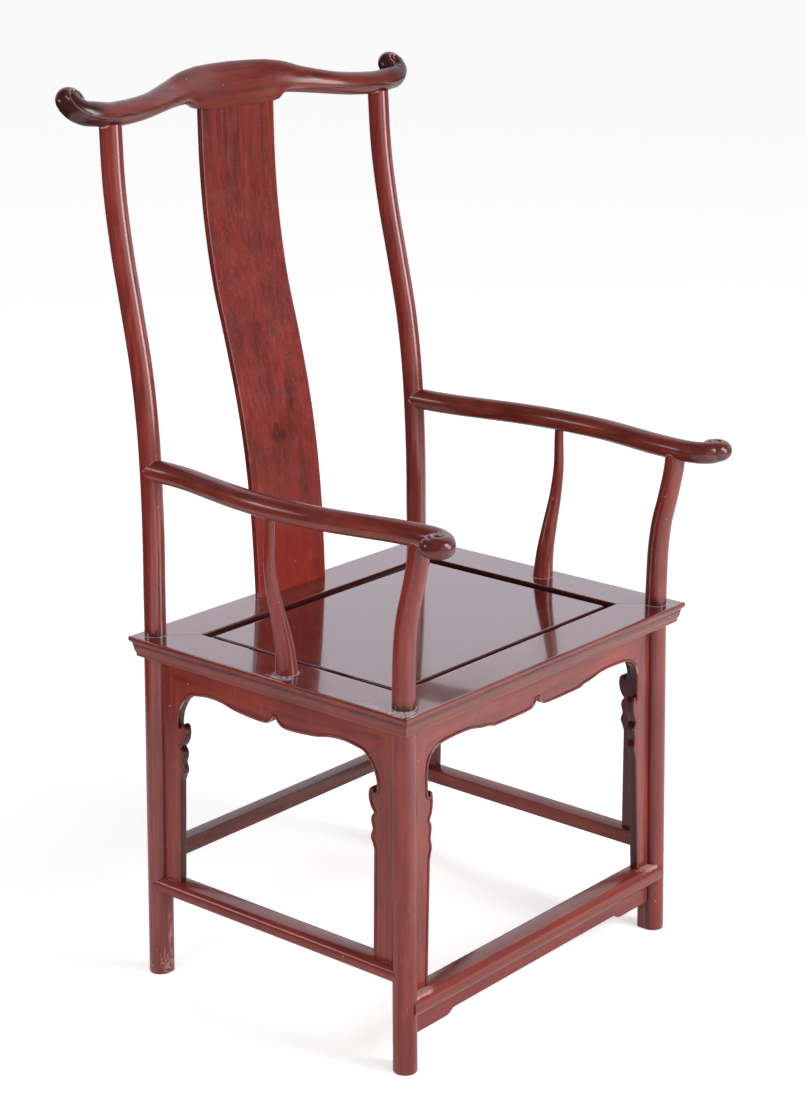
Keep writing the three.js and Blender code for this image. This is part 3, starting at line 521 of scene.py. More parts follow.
@dataclass(frozen=True)
class Lacquer:
    """Brushed and polished lacquer over close-grained hardwood.

    The eye sees a clear gloss over a red-brown ground, with soft darker streaks along the grain.
    """

    name: str
    slot: str
    ground: str = "762B25"
    streak: str = "66231E"
    glow: str = "833328"
    # Dark colour for painted shade and painted dark reflection, with old polish on the curled ends and in the
    # knobs' hollows
    shade_and_grime: str = "230E10"
    bare: str = "A5512F"
    residue: str = "B98880"
    roughness: float = 0.2
    coat: float = 0.0
    coat_roughness: float = 0.06
    streak_width: float = 9.0
    streak_length: float = 160.0
    cloud_size: float = 90.0
    cloud_depth: float = 0.14
    pore_depth: float = 0.12
    ripple: float = 0.06
    scratches: float = 0.1

    def dress(self, piece: Piece, grain: Axis, residues: Sequence[Residue] = ()) -> None:
        """Give a piece this finish alone.

        Args:
            piece: The piece.
            grain: Direction of the timber's grain.
            residues: Pale lines and patches that show on the piece.
        """
        piece.data.materials.clear()
        piece.data.materials.append(self.material(piece, grain, residues))

    def material(
        self, piece: Piece, grain: Axis, residues: Sequence[Residue] = (),
    ) -> bpy.types.Material:
        """Make this finish's material for a piece.

        Args:
            piece: The piece.
            grain: Direction of the timber's grain.
            residues: Pale lines and patches that show on the piece.

        Returns:
            The material.
        """
        material = bpy.data.materials.new(f"{self.name}_{piece.name}")
        material.use_nodes = True
        tree = material.node_tree
        shader = tree.nodes["Principled BSDF"]
        place = add_node(tree, "ShaderNodeTexCoord").outputs["Object"]
        colour = self._grain(tree, place, grain)
        # Worn bare wood, then darkening that is painted shade and old polish, then painted glints and pale spiral
        # ridges in the residue colour
        for name, code in (("wear", self.bare), ("dirt", self.shade_and_grime), ("glint_and_wax", self.residue)):
            share = add_node(tree, "ShaderNodeAttribute", attribute_name=name).outputs["Fac"]
            colour = self._blend(tree, colour, share, code)
        colour = self._blend(tree, colour, self._specks(tree, place), self.residue)
        pale = self._residue(tree, place, residues)
        colour = self._blend(tree, colour, pale, self.residue)
        tree.links.new(colour, shader.inputs["Base Color"])
        tree.links.new(self._gloss(tree, place, pale), shader.inputs["Roughness"])
        tree.links.new(self._waves(tree, place), shader.inputs["Normal"])
        shader.inputs["Coat Weight"].default_value = self.coat
        shader.inputs["Coat Roughness"].default_value = self.coat_roughness
        return material

    def _grain(self, tree: Tree, place: Socket, grain: Axis) -> Socket:
        """Mix the ground's colour with its streaks, pores and clouds.

        Args:
            tree: The material's tree.
            place: The place on the piece.
            grain: Direction of the timber's grain.

        Returns:
            The colour.
        """
        streaks = self._along(tree, place, grain, self.streak_width, self.streak_length, 4.0)
        ramp = add_node(tree, "ShaderNodeValToRGB", {"Fac": streaks})
        stops = ((0.32, self.streak), (0.5, self.ground), (0.72, self.glow))
        for index, (at, code) in enumerate(stops):
            stop = ramp.color_ramp.elements.new(at) if index == 2 else ramp.color_ramp.elements[index]
            stop.position = at
            stop.color = linear(code)
        pores = self._along(tree, place, grain, 0.9, 22.0, 2.0)
        fine = add_node(
            tree, "ShaderNodeMapRange",
            {"Value": pores, "From Min": 0.3, "From Max": 0.55,
             "To Min": 1.0 - self.pore_depth, "To Max": 1.0},
        )
        clouds = add_node(
            tree, "ShaderNodeTexNoise",
            {"Vector": place, "Scale": 1 / (self.cloud_size * MM), "Detail": 2.0},
        )
        depth = add_node(
            tree, "ShaderNodeMapRange",
            {"Value": clouds.outputs["Fac"], "From Min": 0.3, "From Max": 0.7,
             "To Min": 1.0 - self.cloud_depth, "To Max": 1.0 + self.cloud_depth},
        )
        shade = add_node(
            tree, "ShaderNodeMath", {0: fine.outputs[0], 1: depth.outputs[0]}, operation="MULTIPLY",
        )
        return add_node(
            tree, "ShaderNodeVectorMath",
            {0: ramp.outputs["Color"], "Scale": shade.outputs[0]}, operation="SCALE",
        ).outputs["Vector"]

    def _along(
        self, tree: Tree, place: Socket, grain: Axis, width: float,
        length: float, detail: float,
    ) -> Socket:
        """Make noise that is drawn out along the grain.

        Args:
            tree: The material's tree.
            place: The place on the piece.
            grain: Direction that it is drawn out in.
            width: Size across the grain.
            length: Size along it.
            detail: Octaves of the noise.

        Returns:
            The noise.
        """
        scale = [1 / (width * MM)] * 3
        scale[grain.value] = 1 / (length * MM)
        turned = add_node(tree, "ShaderNodeMapping", {"Vector": place, "Scale": scale})
        return add_node(
            tree, "ShaderNodeTexNoise",
            {"Vector": turned.outputs[0], "Scale": 1.0, "Detail": detail, "Roughness": 0.55, "Distortion": 0.3},
        ).outputs["Fac"]

    def _blend(
        self, tree: Tree, under: Socket, share: Socket, over: str,
    ) -> Socket:
        """Blend a colour over another.

        Args:
            tree: The material's tree.
            under: The colour below.
            share: How much of the upper one shows.
            over: The upper colour, as an sRGB hex value.

        Returns:
            The blended colour.
        """
        node = add_node(tree, "ShaderNodeMix", data_type="RGBA")
        tree.links.new(share, node.inputs[0])
        tree.links.new(under, node.inputs[6])
        node.inputs[7].default_value = linear(over)
        return node.outputs[2]

    def _residue(
        self, tree: Tree, place: Socket, residues: Sequence[Residue],
    ) -> Socket:
        """Collect the pale residue of lines and patches, broken up by noise.

        Args:
            tree: The material's tree.
            place: The place on the piece.
            residues: The lines and patches.

        Returns:
            Share of residue that shows.
        """
        total = add_node(tree, "ShaderNodeMath", {0: 0.0, 1: 0.0}, operation="ADD").outputs[0]
        for residue in residues:
            total = add_node(
                tree, "ShaderNodeMath", {0: total, 1: residue.amount(tree, place)}, operation="MAXIMUM",
            ).outputs[0]
        crumbs = add_node(
            tree, "ShaderNodeTexNoise",
            {"Vector": place, "Scale": 1 / (5 * MM), "Detail": 5.0, "Roughness": 0.7},
        )
        spread = add_node(
            tree, "ShaderNodeMapRange", {"Value": crumbs.outputs["Fac"], "From Min": 0.3, "From Max": 0.7},
        )
        full = add_node(tree, "ShaderNodeMath", {0: total, 1: spread.outputs[0]}, operation="ADD")
        edge = add_node(
            tree, "ShaderNodeMapRange", {"Value": full.outputs[0], "From Min": 0.85, "From Max": 1.25},
        )
        held = add_node(tree, "ShaderNodeMath", {0: total, 1: 1.6}, operation="MULTIPLY", use_clamp=True)
        return add_node(
            tree, "ShaderNodeMath", {0: edge.outputs[0], 1: held.outputs[0]}, operation="MULTIPLY",
        ).outputs[0]

    def _specks(self, tree: Tree, place: Socket) -> Socket:
        """Scatter small chips and fine scratches.

        Args:
            tree: The material's tree.
            place: The place on the piece.

        Returns:
            Share of pale chips and scratches.
        """
        cells = add_node(tree, "ShaderNodeTexVoronoi", {"Vector": place, "Scale": 1 / (34 * MM)})
        dot = add_node(
            tree, "ShaderNodeMapRange",
            {"Value": cells.outputs["Distance"], "From Min": 0.02, "From Max": 0.04,
             "To Min": 0.8, "To Max": 0.0},
        )
        turned = add_node(
            tree, "ShaderNodeMapping",
            {"Vector": place, "Rotation": (0.5, 0.9, 0.4),
             "Scale": [1 / (size * MM) for size in (0.9, 0.9, 18)]},
        )
        lines = add_node(
            tree, "ShaderNodeTexNoise", {"Vector": turned.outputs[0], "Scale": 1.0, "Detail": 1.0},
        )
        areas = add_node(tree, "ShaderNodeTexNoise", {"Vector": place, "Scale": 1 / (60 * MM), "Detail": 1.0})
        both = add_node(
            tree, "ShaderNodeMath", {0: areas.outputs["Fac"], 1: 0.9, 2: lines.outputs["Fac"]},
            operation="MULTIPLY_ADD",
        )
        scratch = add_node(
            tree, "ShaderNodeMapRange",
            {"Value": both.outputs[0], "From Min": 1.2, "From Max": 1.28, "To Max": self.scratches},
        )
        return add_node(
            tree, "ShaderNodeMath", {0: dot.outputs[0], 1: scratch.outputs[0]}, operation="MAXIMUM",
        ).outputs[0]

    def _gloss(
        self, tree: Tree, place: Socket, pale: Socket,
    ) -> Socket:
        """Set the roughness: a little uneven, and dull where residue lies.

        Args:
            tree: The material's tree.
            place: The place on the piece.
            pale: Share of residue.

        Returns:
            The roughness.
        """
        rubbed = add_node(tree, "ShaderNodeTexNoise", {"Vector": place, "Scale": 1 / (25 * MM), "Detail": 4.0})
        base = add_node(
            tree, "ShaderNodeMapRange",
            {"Value": rubbed.outputs["Fac"], "From Min": 0.3, "From Max": 0.7,
             "To Min": self.roughness * 0.8, "To Max": self.roughness * 1.25},
        )
        return add_node(
            tree, "ShaderNodeMath", {0: pale, 1: 0.5, 2: base.outputs[0]}, operation="MULTIPLY_ADD",
        ).outputs[0]

    def _waves(self, tree: Tree, place: Socket) -> Socket:
        """Ripple the surface as hand-brushed lacquer is, in waves about 14 mm apart.

        Args:
            tree: The material's tree.
            place: The place on the piece.

        Returns:
            The normal.
        """
        waves = add_node(tree, "ShaderNodeTexNoise", {"Vector": place, "Scale": 1 / (14 * MM), "Detail": 2.0})
        return add_node(
            tree, "ShaderNodeBump",
            {"Strength": self.ripple, "Distance": 0.4 * MM, "Height": waves.outputs["Fac"]},
        ).outputs["Normal"]


@dataclass(frozen=True)
class FiguredLacquer(Lacquer):
    """The same lacquer over a figured board: orange-red low down, browner above, with dark figure between."""

    low_glow: str = "8E281C"
    brown: str = "3F1613"
    low: float = 500.0
    high: float = 1190.0
    knots: tuple[Smear, ...] = (
        Smear(Vector((19.0, 0.0, 866.0)), Vector((10.0, 900.0, 12.0)), 0.8),
        Smear(Vector((-4.0, 0.0, 724.0)), Vector((30.0, 900.0, 24.0)), 0.8),
        Smear(Vector((28.0, 0.0, 775.0)), Vector((12.0, 900.0, 46.0)), 0.75),
        Smear(Vector((-8.0, 0.0, 800.0)), Vector((12.0, 900.0, 40.0)), 0.6),
        Smear(Vector((30.0, 0.0, 648.0)), Vector((9.0, 900.0, 10.0)), 0.8),
    )

    def _grain(self, tree: Tree, place: Socket, grain: Axis) -> Socket:
        """Mix the plain grain with a warm foot, a brown head and a figure.

        Args:
            tree: The material's tree.
            place: The place on the piece.
            grain: Direction of the timber's grain.

        Returns:
            The colour.
        """
        colour = super()._grain(tree, place, grain)
        parts = add_node(tree, "ShaderNodeSeparateXYZ", {0: place})
        rise = add_node(
            tree, "ShaderNodeMapRange",
            {"Value": parts.outputs["Z"], "From Min": self.low * MM, "From Max": self.high * MM},
        )
        warm = add_node(
            tree, "ShaderNodeMapRange",
            {"Value": rise.outputs[0], "From Min": 0.0, "From Max": 0.3, "To Min": 0.7, "To Max": 0.0},
        )
        colour = self._blend(tree, colour, warm.outputs[0], self.low_glow)
        fine = self._along(tree, place, grain, 1.4, 260.0, 3.0)
        broad = self._along(tree, place, grain, 20.0, 230.0, 2.0)
        figure = add_node(tree, "ShaderNodeMath", {0: fine, 1: 1.3, 2: broad}, operation="MULTIPLY_ADD")
        head = add_node(
            tree, "ShaderNodeMapRange",
            {"Value": rise.outputs[0], "From Min": 0.1, "From Max": 0.9, "To Min": -0.12, "To Max": 0.04},
        )
        dark = add_node(tree, "ShaderNodeMath", {0: figure.outputs[0], 1: head.outputs[0]}, operation="ADD")
        share = add_node(
            tree, "ShaderNodeMapRange",
            {"Value": dark.outputs[0], "From Min": 1.06, "From Max": 1.42, "To Max": 0.72},
        ).outputs[0]
        mottle = self._along(tree, place, grain, 4.0, 14.0, 3.0)
        for knot in self.knots:
            patch = add_node(
                tree, "ShaderNodeMath", {0: mottle, 1: knot.amount(tree, place)}, operation="MULTIPLY",
            )
            stain = add_node(
                tree, "ShaderNodeMapRange",
                {"Value": patch.outputs[0], "From Min": 0.1, "From Max": 0.45, "To Max": 0.9},
            )
            share = add_node(
                tree, "ShaderNodeMath", {0: share, 1: stain.outputs[0]}, operation="MAXIMUM",
            ).outputs[0]
        return self._blend(tree, colour, share, self.brown)


FRAME_LACQUER = Lacquer("frame_lacquer", "frame_lacquer")
# Its dark colour is purple-black: painted dark reflection and old polish at the curled ends
CREST_LACQUER = replace(
    FRAME_LACQUER, name="crest_lacquer", ground="6C2A23", streak="5A211C", glow="7C3427", shade_and_grime="21121A",
    residue="B08A80", ripple=0.03, scratches=0.0,
)
# Darker copy of the frame lacquer: painted shade on the rear stretcher under the seat and in the panel's groove
DARK_LACQUER = replace(
    FRAME_LACQUER, name="shaded_lacquer", ground="5C2B25", streak="4A211C", glow="68342C", roughness=0.26,
)
POST_LACQUER = replace(FRAME_LACQUER, name="post_lacquer", coat=0.5, coat_roughness=0.12)
RED_LACQUER = FiguredLacquer(
    "red_lacquer", "red_lacquer", ground="7C2922", streak="69211B", glow="8A3026",
    streak_width=6.0, streak_length=190.0, roughness=0.24, pore_depth=0.2,
)
SEAT_LACQUER = Lacquer(
    "seat_lacquer", "seat_lacquer", ground="541E1B", streak="441715", glow="602620",
    roughness=0.12, coat=1.0, coat_roughness=0.04, ripple=0.05, scratches=0.0,
)
SEAT_FRAME_LACQUER = Lacquer(
    "seat_frame_lacquer", "frame_lacquer", ground="642824", streak="53201D", glow="6E2E26", residue="C2B4B4",
    roughness=0.16, coat=0.9, coat_roughness=0.05, ripple=0.06, scratches=0.15,
)
BARE_WOOD = Lacquer(
    "bare_wood", "bare_wood", ground="8A6142", streak="6B4630", glow="A0764F", roughness=0.6,
)


def deliver(piece: Piece, finish: Lacquer, grain: Axis, residues: Sequence[Residue] = ()) -> None:
    """Dress a finished piece and set it in the place of the node of its name.

    Args:
        piece: The piece, named as the node that it stands for.
        finish: Its finish.
        grain: Direction of its grain.
        residues: Pale lines and patches that show on it.
    """
    node = piece.name.removesuffix("_finish")
    finish.dress(piece, grain, residues)
    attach(piece, BODY)
    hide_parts(node)
    log.info("%s: %d faces", piece.name, len(piece.data.polygons))


def deliver_pair(
    piece: Piece,
    finish: Lacquer,
    grain: Axis,
    residues: Sequence[Residue] = (),
    left_only: Sequence[Residue] = (),
) -> tuple[Piece, Piece]:
    """Deliver a piece of the right side and its mirrored copy on the left.

    Args:
        piece: The right piece.
        finish: Finish of both.
        grain: Direction of their grain.
        residues: Pale lines and patches on the right piece, mirrored on the left one.
        left_only: More of them that only the left piece has.

    Returns:
        The right piece and the left one.
    """
    twin = mirrored(piece, piece.name.replace("right_", "left_"))
    deliver(piece, finish, grain, residues)
    deliver(twin, finish, grain, [*(residue.mirrored() for residue in residues), *left_only])
    return piece, twin


@dataclass(frozen=True)
class Leg:
    """Splayed leg: foot and seat places of its middle, neck above, and how far its inner corner reaches."""

    foot: Vector
    seat: Vector
    neck: float
    corner: float


@dataclass(frozen=True)
class Plan:
    """Main sizes that the sub-assemblies share."""

    seat_height: float = 500.0
    seat_width: float = 623.0
    rail_width: float = 70.0
    rail_thickness: float = 29.0
    leg_radius: float = 16.2
    foot_arris: float = 1.5
    post_x: float = 280.5
    front_post: float = 215.0
    rear_post: float = 223.5
    foot_x: float = 286.2
    front_foot: float = 227.6
    rear_foot: float = 220.8
    neck_radius: float = 15.3
    rear_post_radius: float = 15.1
    crest_height: float = 1194.0
    crest_post_x: float = 270.0
    crest_post_back: float = 298.0
    crest_radius: float = 16.3
    arm_height: float = 730.0
    arm_radius: float = 15.2
    side_post_x: float = 279.5
    side_post_y: float = -16.5
    side_post_radius: float = 15.0
    footrest_top: float = 105.0
    side_stretcher_top: float = 147.0
    front_corner: float = 1.38
    rear_corner: float = 1.18

    @property
    def underside(self) -> float:
        """Height of the seat frame's underside."""
        return self.seat_height - self.rail_thickness

    @property
    def front_leg(self) -> Leg:
        """The right front leg."""
        foot = Vector((self.foot_x, -self.front_foot, 0.0))
        seat = Vector((self.post_x, -self.front_post, self.underside))
        return Leg(foot, seat, self.neck_radius, self.front_corner)

    @property
    def rear_leg(self) -> Leg:
        """The right rear leg."""
        foot = Vector((self.foot_x, self.rear_foot, 0.0))
        seat = Vector((self.post_x, self.rear_post, self.underside))
        return Leg(foot, seat, self.rear_post_radius, self.rear_corner)

    def leg_centre(self, leg: Leg, height: float) -> Vector:
        """Middle of a leg at a height."""
        return leg.foot.lerp(leg.seat, height / self.underside)

    def inner_x(self, height: float) -> float:
        """Inner side face of the right legs."""
        return self.leg_centre(self.front_leg, height).x - self.leg_radius

    def inner_front(self, height: float) -> float:
        """Face of the front legs towards the rear ones."""
        return self.leg_centre(self.front_leg, height).y + self.leg_radius

    def inner_rear(self, height: float) -> float:
        """Face of the rear legs towards the front ones."""
        return self.leg_centre(self.rear_leg, height).y - self.leg_radius


PLAN = Plan()


@dataclass(frozen=True)
class SeatFrame:
    """Four mitred rails with a moulded outer edge, and the raised panel between them."""

    # Outer edge and faces of a rail, from its top inner side round: setback, drop
    section: Shares = (
        (3.5, 0.0), (1.1, 0.0), (0.35, 0.3), (0.0, 1.0), (0.0, 5.3), (0.4, 6.1), (2.0, 7.2), (2.7, 8.3),
        (3.4, 9.4), (4.0, 10.2), (4.3, 12.5), (4.7, 15.0), (5.1, 18.0), (5.8, 20.4), (6.8, 22.4), (7.3, 23.2),
        (7.45, 24.0), (7.45, 27.0), (7.8, 27.8), (8.5, 28.6), (9.3, 29.0), (69.2, 29.0), (70.0, 28.2),
        (70.0, 15.3), (62.7, 15.3), (62.7, 8.2), (70.0, 8.2), (70.0, 0.8), (69.8, 0.25), (69.2, 0.0),
        (66.5, 0.0),
    )
    # Numbers of the section's points, and the painted shade on them
    fillets: tuple[int, ...] = (9, 10, 15)
    moulding: tuple[int, ...] = tuple(range(3, 22))
    groove: tuple[int, ...] = (22, 23, 24, 25, 26, 27)
    moulding_shade: float = 0.04
    fillet_shade: float = 0.7
    groove_shade: float = 0.85
    rail_smoothing: float = 28.0
    top_facing: float = 0.9
    end_arris: float = 0.35
    mitre_gap: float = 0.1
    border_drop: float = 8.5
    border_width: float = 13.5
    # Edge of the raised field, from the sunk border up: place inwards of its foot, drop
    field_edge: Shares = ((-2.4, 8.5), (-1.4, 8.0), (-0.9, 4.3), (-0.4, 3.3), (0.5, 2.7), (1.5, 2.7))
    # Painted shade on the panel's rings, from its tongue to the field
    panel_shades: tuple[float, ...] = (0.9, 0.9, 0.9, 0.9, 0.6, 0.0, 0.0, 0.0)
    panel_smoothing: float = 35.0
    tongue: float = 7.0
    tongue_thickness: float = 6.5
    # Wax round the foot of a post, first crisp and then loose: width, strength
    foot_rings: Shares = ((3.2, 1.1), (11.0, 0.5))
    left_smears: tuple[Residue, ...] = (
        Smear(Vector((-296.0, -228.0, PLAN.seat_height)), Vector((30.0, 30.0, 4.0)), 0.72),
        Smear(Vector((-302.0, -178.0, PLAN.seat_height)), Vector((9.0, 34.0, 5.0)), 0.7),
        Smear(Vector((-296.0, -22.0, PLAN.seat_height)), Vector((24.0, 34.0, 4.0)), 0.6),
    )

    def _rail(self, name: str, place: RailPlace) -> Piece:
        """Model a mitred rail, drawn in a little at its ends for the arris of the mitre.

        Args:
            name: Name of the piece.
            place: Puts a point of the section on the rail.

        Returns:
            The rail, with painted shade in its fillets and its groove.
        """
        outline = list(self.section)
        small = inset(outline, self.end_arris)
        stations = (
            (small, -1, 0.0), (outline, -1, self.end_arris), (outline, 1, self.end_arris), (small, 1, 0.0),
        )
        rings = [
            [place(setback, drop, end, self.mitre_gap + back) for setback, drop in shape]
            for shape, end, back in stations
        ]
        dark = dict.fromkeys(self.moulding, self.moulding_shade)
        dark |= dict.fromkeys(self.fillets, self.fillet_shade)
        dark |= dict.fromkeys(self.groove, self.groove_shade)
        marks = {"dirt": lambda _, point: dark.get(point, 0.0)}
        return loft(name, rings, self.rail_smoothing, marks)

    def _across(self, side: int) -> RailPlace:
        """Find how to place a point on the front or the rear rail.

        Args:
            side: -1 for the front rail, 1 for the rear one.

        Returns:
            The place by setback, drop, end and distance back from the mitre.
        """
        return lambda setback, drop, end, back: Vector((
            end * (PLAN.seat_width / 2 - setback - back), side * (SEAT_DEPTH / 2 - setback),
            PLAN.seat_height - drop,
        ))

    def _along(self, setback: float, drop: float, end: int, back: float) -> Vector:
        """Place on the right rail."""
        x = PLAN.seat_width / 2 - setback
        return Vector((x, end * (SEAT_DEPTH / 2 - setback - back), PLAN.seat_height - drop))

    def _panel(self) -> Piece:
        """Model the panel.

        Returns:
            The raised field with soft arrises, a sunk border and a tongue all round.
        """
        half_x = PLAN.seat_width / 2 - PLAN.rail_width
        half_y = SEAT_DEPTH / 2 - PLAN.rail_width
        corners = ((1, 1), (-1, 1), (-1, -1), (1, -1))
        steps = [
            (-self.tongue, self.border_drop + self.tongue_thickness), (-self.tongue, self.border_drop),
            *((self.border_width + pull, drop) for pull, drop in self.field_edge),
        ]
        rings = [
            [Vector((x * (half_x - pull), y * (half_y - pull), PLAN.seat_height - drop)) for x, y in corners]
            for pull, drop in steps
        ]
        marks = {"dirt": lambda ring, _: self.panel_shades[ring]}
        return loft("seat_panel_finish", rings, self.panel_smoothing, marks)

    def _edge(self, piece: Piece, finish: Lacquer, grain: Axis) -> None:
        """Give the edges of a rail or the panel, which aren't polished like the top, a plainer lacquer.

        Args:
            piece: The piece, dressed already.
            finish: The plainer lacquer.
            grain: Direction of the grain.
        """
        piece.data.materials.append(finish.material(piece, grain))
        for face in piece.data.polygons:
            face.material_index = int(face.normal.z < self.top_facing)

    def _post_marks(self, *posts: tuple[float, float, float]) -> list[Residue]:
        """Residue round the feet of posts.

        Args:
            *posts: Place and radius of each post.

        Returns:
            A crisp ring and a loose one for each post.
        """
        marks = []
        for x, y, radius in posts:
            foot = Vector((x, y, PLAN.seat_height))
            for width, strength in self.foot_rings:
                marks.append(JointLine(foot, Axis.Z, radius, width, strength=strength))
        return marks

    def build(self) -> None:
        """Build and dress the rails and the panel."""
        front = (PLAN.post_x, -PLAN.front_post, PLAN.neck_radius)
        rear = (PLAN.post_x, PLAN.rear_post, PLAN.rear_post_radius)
        middle = (PLAN.side_post_x, PLAN.side_post_y, PLAN.side_post_radius)
        for name, side, (x, y, radius) in (("front", -1, front), ("rear", 1, rear)):
            rail = self._rail(f"{name}_seat_rail_finish", self._across(side))
            marks = self._post_marks((x, y, radius), (-x, y, radius))
            deliver(rail, SEAT_FRAME_LACQUER, Axis.X, [*marks, *self.left_smears])
            self._edge(rail, FRAME_LACQUER, Axis.X)
        side_rail = self._rail("right_seat_rail_finish", self._along)
        marks = self._post_marks(front, middle, rear)
        for rail in deliver_pair(side_rail, SEAT_FRAME_LACQUER, Axis.Y, marks, self.left_smears):
            self._edge(rail, FRAME_LACQUER, Axis.Y)
        panel = self._panel()
        deliver(panel, SEAT_LACQUER, Axis.X)
        # The panel's sunk edges take the darker lacquer as painted shade in the groove
        self._edge(panel, DARK_LACQUER, Axis.X)


@dataclass(frozen=True)
class Posts:
    """Legs with the posts above them in one timber, and the slender side posts."""

    sides: int = 48
    shaft_rings: int = 12
    curve_steps: int = 8
    # Arris of a foot, from the floor up: share of its height, share of its setback
    foot_arris: Shares = ((0, 1), (0.15, 0.5), (1, 0))
    back_rises: tuple[float, ...] = (0.0, 0.086, 0.173, 0.288, 0.403, 0.519, 0.634, 0.749, 0.865, 1.0)
    back_sweeps: tuple[float, ...] = (0.0, 0.015, 0.02, 0.057, 0.132, 0.277, 0.503, 0.739, 0.912, 1.0)
    neck_rises: tuple[float, ...] = (0.0, 0.174, 0.348, 0.522, 0.696, 0.87, 1.0)
    neck_sweeps: tuple[float, ...] = (0.0, 0.0, 0.03, 0.2, 0.58, 0.9, 1.0)
    neck_top: Vector = Vector((280.7, -238.5, 730.0))
    neck_top_radius: float = 14.0
    side_sweeps: tuple[float, ...] = (0.0, 0.145, 0.48, 0.84, 1.03, 1.0, 1.0)
    side_tapers: tuple[float, ...] = (0.0, 0.256, 0.478, 0.689, 0.833, 0.922, 1.0)
    side_top: Vector = Vector((310.9, -16.5, 730.0))
    side_top_radius: float = 6.0
    taper_spacing: float = 40.0
    head_cut: float = 3.5
    root_sink: float = 2.0
    neck_step: float = 1.0
    # Painted shade in the corners beside the strips, by the angle round the leg
    shade: float = 0.85
    across_reach: float = 28.0
    along_turn: float = 79.0
    along_reach: float = 12.0
    along_share: float = 0.6
    # Painted shade round the root of a post, in the crease over the seat
    root_shade: float = 0.75
    root_reach: float = 18.0
    line_width: float = 1.4
    line_strength: float = 0.7
    foot_marks: tuple[Residue, ...] = (
        Scuff(Vector((-274.0, 207.0, 66.0)), Vector((16.0, 16.0, 62.0)), 1.3),
        Scuff(Vector((-292.0, 204.0, 28.0)), Vector((22.0, 16.0, 26.0)), 1.3),
        Smear(Vector((-284.0, 205.0, 12.0)), Vector((24.0, 14.0, 20.0)), 0.45),
    )

    def _contact(self, leg: Leg, side: int) -> float:
        """Painted shade in the corners beside the strips.

        Args:
            leg: The right front or right rear leg.
            side: Number of the point round the leg.

        Returns:
            How dark it is there, from 0 to 1.
        """
        turn = 360.0 * side / self.sides
        outward = math.copysign(1.0, leg.seat.y)
        beside = (turn - 180.0) * -outward
        behind = abs((turn * -outward) % 360.0 - self.along_turn)
        across = self.shade if 0.0 <= beside < self.across_reach else 0.0
        along = self.along_share * self.shade if behind < self.along_reach else 0.0
        return max(across * (1.0 - beside / self.across_reach), along * (1.0 - behind / self.along_reach))

    def _marks(self, leg: Leg, rings: Sequence[Ring]) -> Marks:
        """Painted shade of a post: beside the strips below the seat, and round its root above it.

        Args:
            leg: The right front or right rear leg.
            rings: The rings of the whole post.

        Returns:
            The attribute's values.
        """

        def dirt(ring: int, side: int) -> float:
            """Work out how dark a point is.

            Args:
                ring: Number of its ring.
                side: Its number in the ring.

            Returns:
                The darkness, from 0 to 1.
            """
            height = rings[ring][side].z
            if height < PLAN.seat_height - PLAN.rail_thickness / 2:
                return self._contact(leg, side)
            return self.root_shade * (1.0 - ease(0.0, self.root_reach, height - PLAN.seat_height))

        return {"dirt": dirt}

    def _leg_ring(self, leg: Leg, height: float, radius: float) -> Ring:
        """Draw a ring of a leg.

        Args:
            leg: The right front or right rear leg.
            height: Height of the ring.
            radius: Its radius.

        Returns:
            The ring, square in the quadrant that faces the chair's middle.
        """
        centre = PLAN.leg_centre(leg, height)
        inward = -math.copysign(1.0, leg.seat.y)
        ring = []
        for side in range(self.sides):
            turn = 2 * math.pi * side / self.sides
            cos = math.cos(turn)
            sin = math.sin(turn)
            inner = cos < -MM and sin * inward > MM
            reach = radius * min(1 / max(abs(cos), abs(sin)), leg.corner) if inner else radius
            ring.append(Vector((centre.x + reach * cos, centre.y + reach * sin, height)))
        return ring

    def _leg_rings(self, leg: Leg) -> list[Ring]:
        """Draw the rings from the foot to the neck in the seat frame.

        Args:
            leg: The right front or right rear leg.

        Returns:
            The rings, from the floor up.
        """
        arris = PLAN.foot_arris
        radius = PLAN.leg_radius
        sizes = [(rise * arris, radius - back * arris) for rise, back in self.foot_arris]
        for step in range(1, self.shaft_rings + 1):
            sizes.append((lerp(arris, PLAN.underside, step / self.shaft_rings), radius))
        rings = [self._leg_ring(leg, height, size) for height, size in sizes]
        for height in (PLAN.underside + self.neck_step, PLAN.seat_height - self.root_sink):
            centre = Vector((leg.seat.x, leg.seat.y, height))
            rings.append(round_ring(centre, ALONG_X, ALONG_Y, leg.neck, self.sides))
        return rings

    def _upper_rings(self, stations: Sequence[Vector], radii: Sequence[float]) -> list[Ring]:
        """Draw level rings along a smooth curve, with a smooth taper.

        Args:
            stations: The points that the middle of the post passes.
            radii: Its radius at each of them.

        Returns:
            The rings, up to the cut of the post's head.
        """
        tapers = [Vector((radius, self.taper_spacing * index, 0.0)) for index, radius in enumerate(radii)]
        return [
            round_ring(centre, ALONG_X, ALONG_Y, size.x, self.sides)
            for centre, size in zip(smooth(stations, self.curve_steps), smooth(tapers, self.curve_steps))
            if centre.z <= stations[-1].z - self.head_cut
        ]

    def _rear(self) -> Piece:
        """Model the right rear post.

        Returns:
            The post, from the floor to the crest rail.
        """
        stations = [
            Vector((
                lerp(PLAN.post_x, PLAN.crest_post_x, rise),
                lerp(PLAN.rear_post, PLAN.crest_post_back, sweep),
                lerp(PLAN.seat_height, PLAN.crest_height, rise),
            ))
            for rise, sweep in zip(self.back_rises, self.back_sweeps)
        ]
        upper = self._upper_rings(stations, [PLAN.rear_post_radius] * len(stations))
        rings = self._leg_rings(PLAN.rear_leg) + upper
        return loft("right_rear_post_finish", rings, marks=self._marks(PLAN.rear_leg, rings))

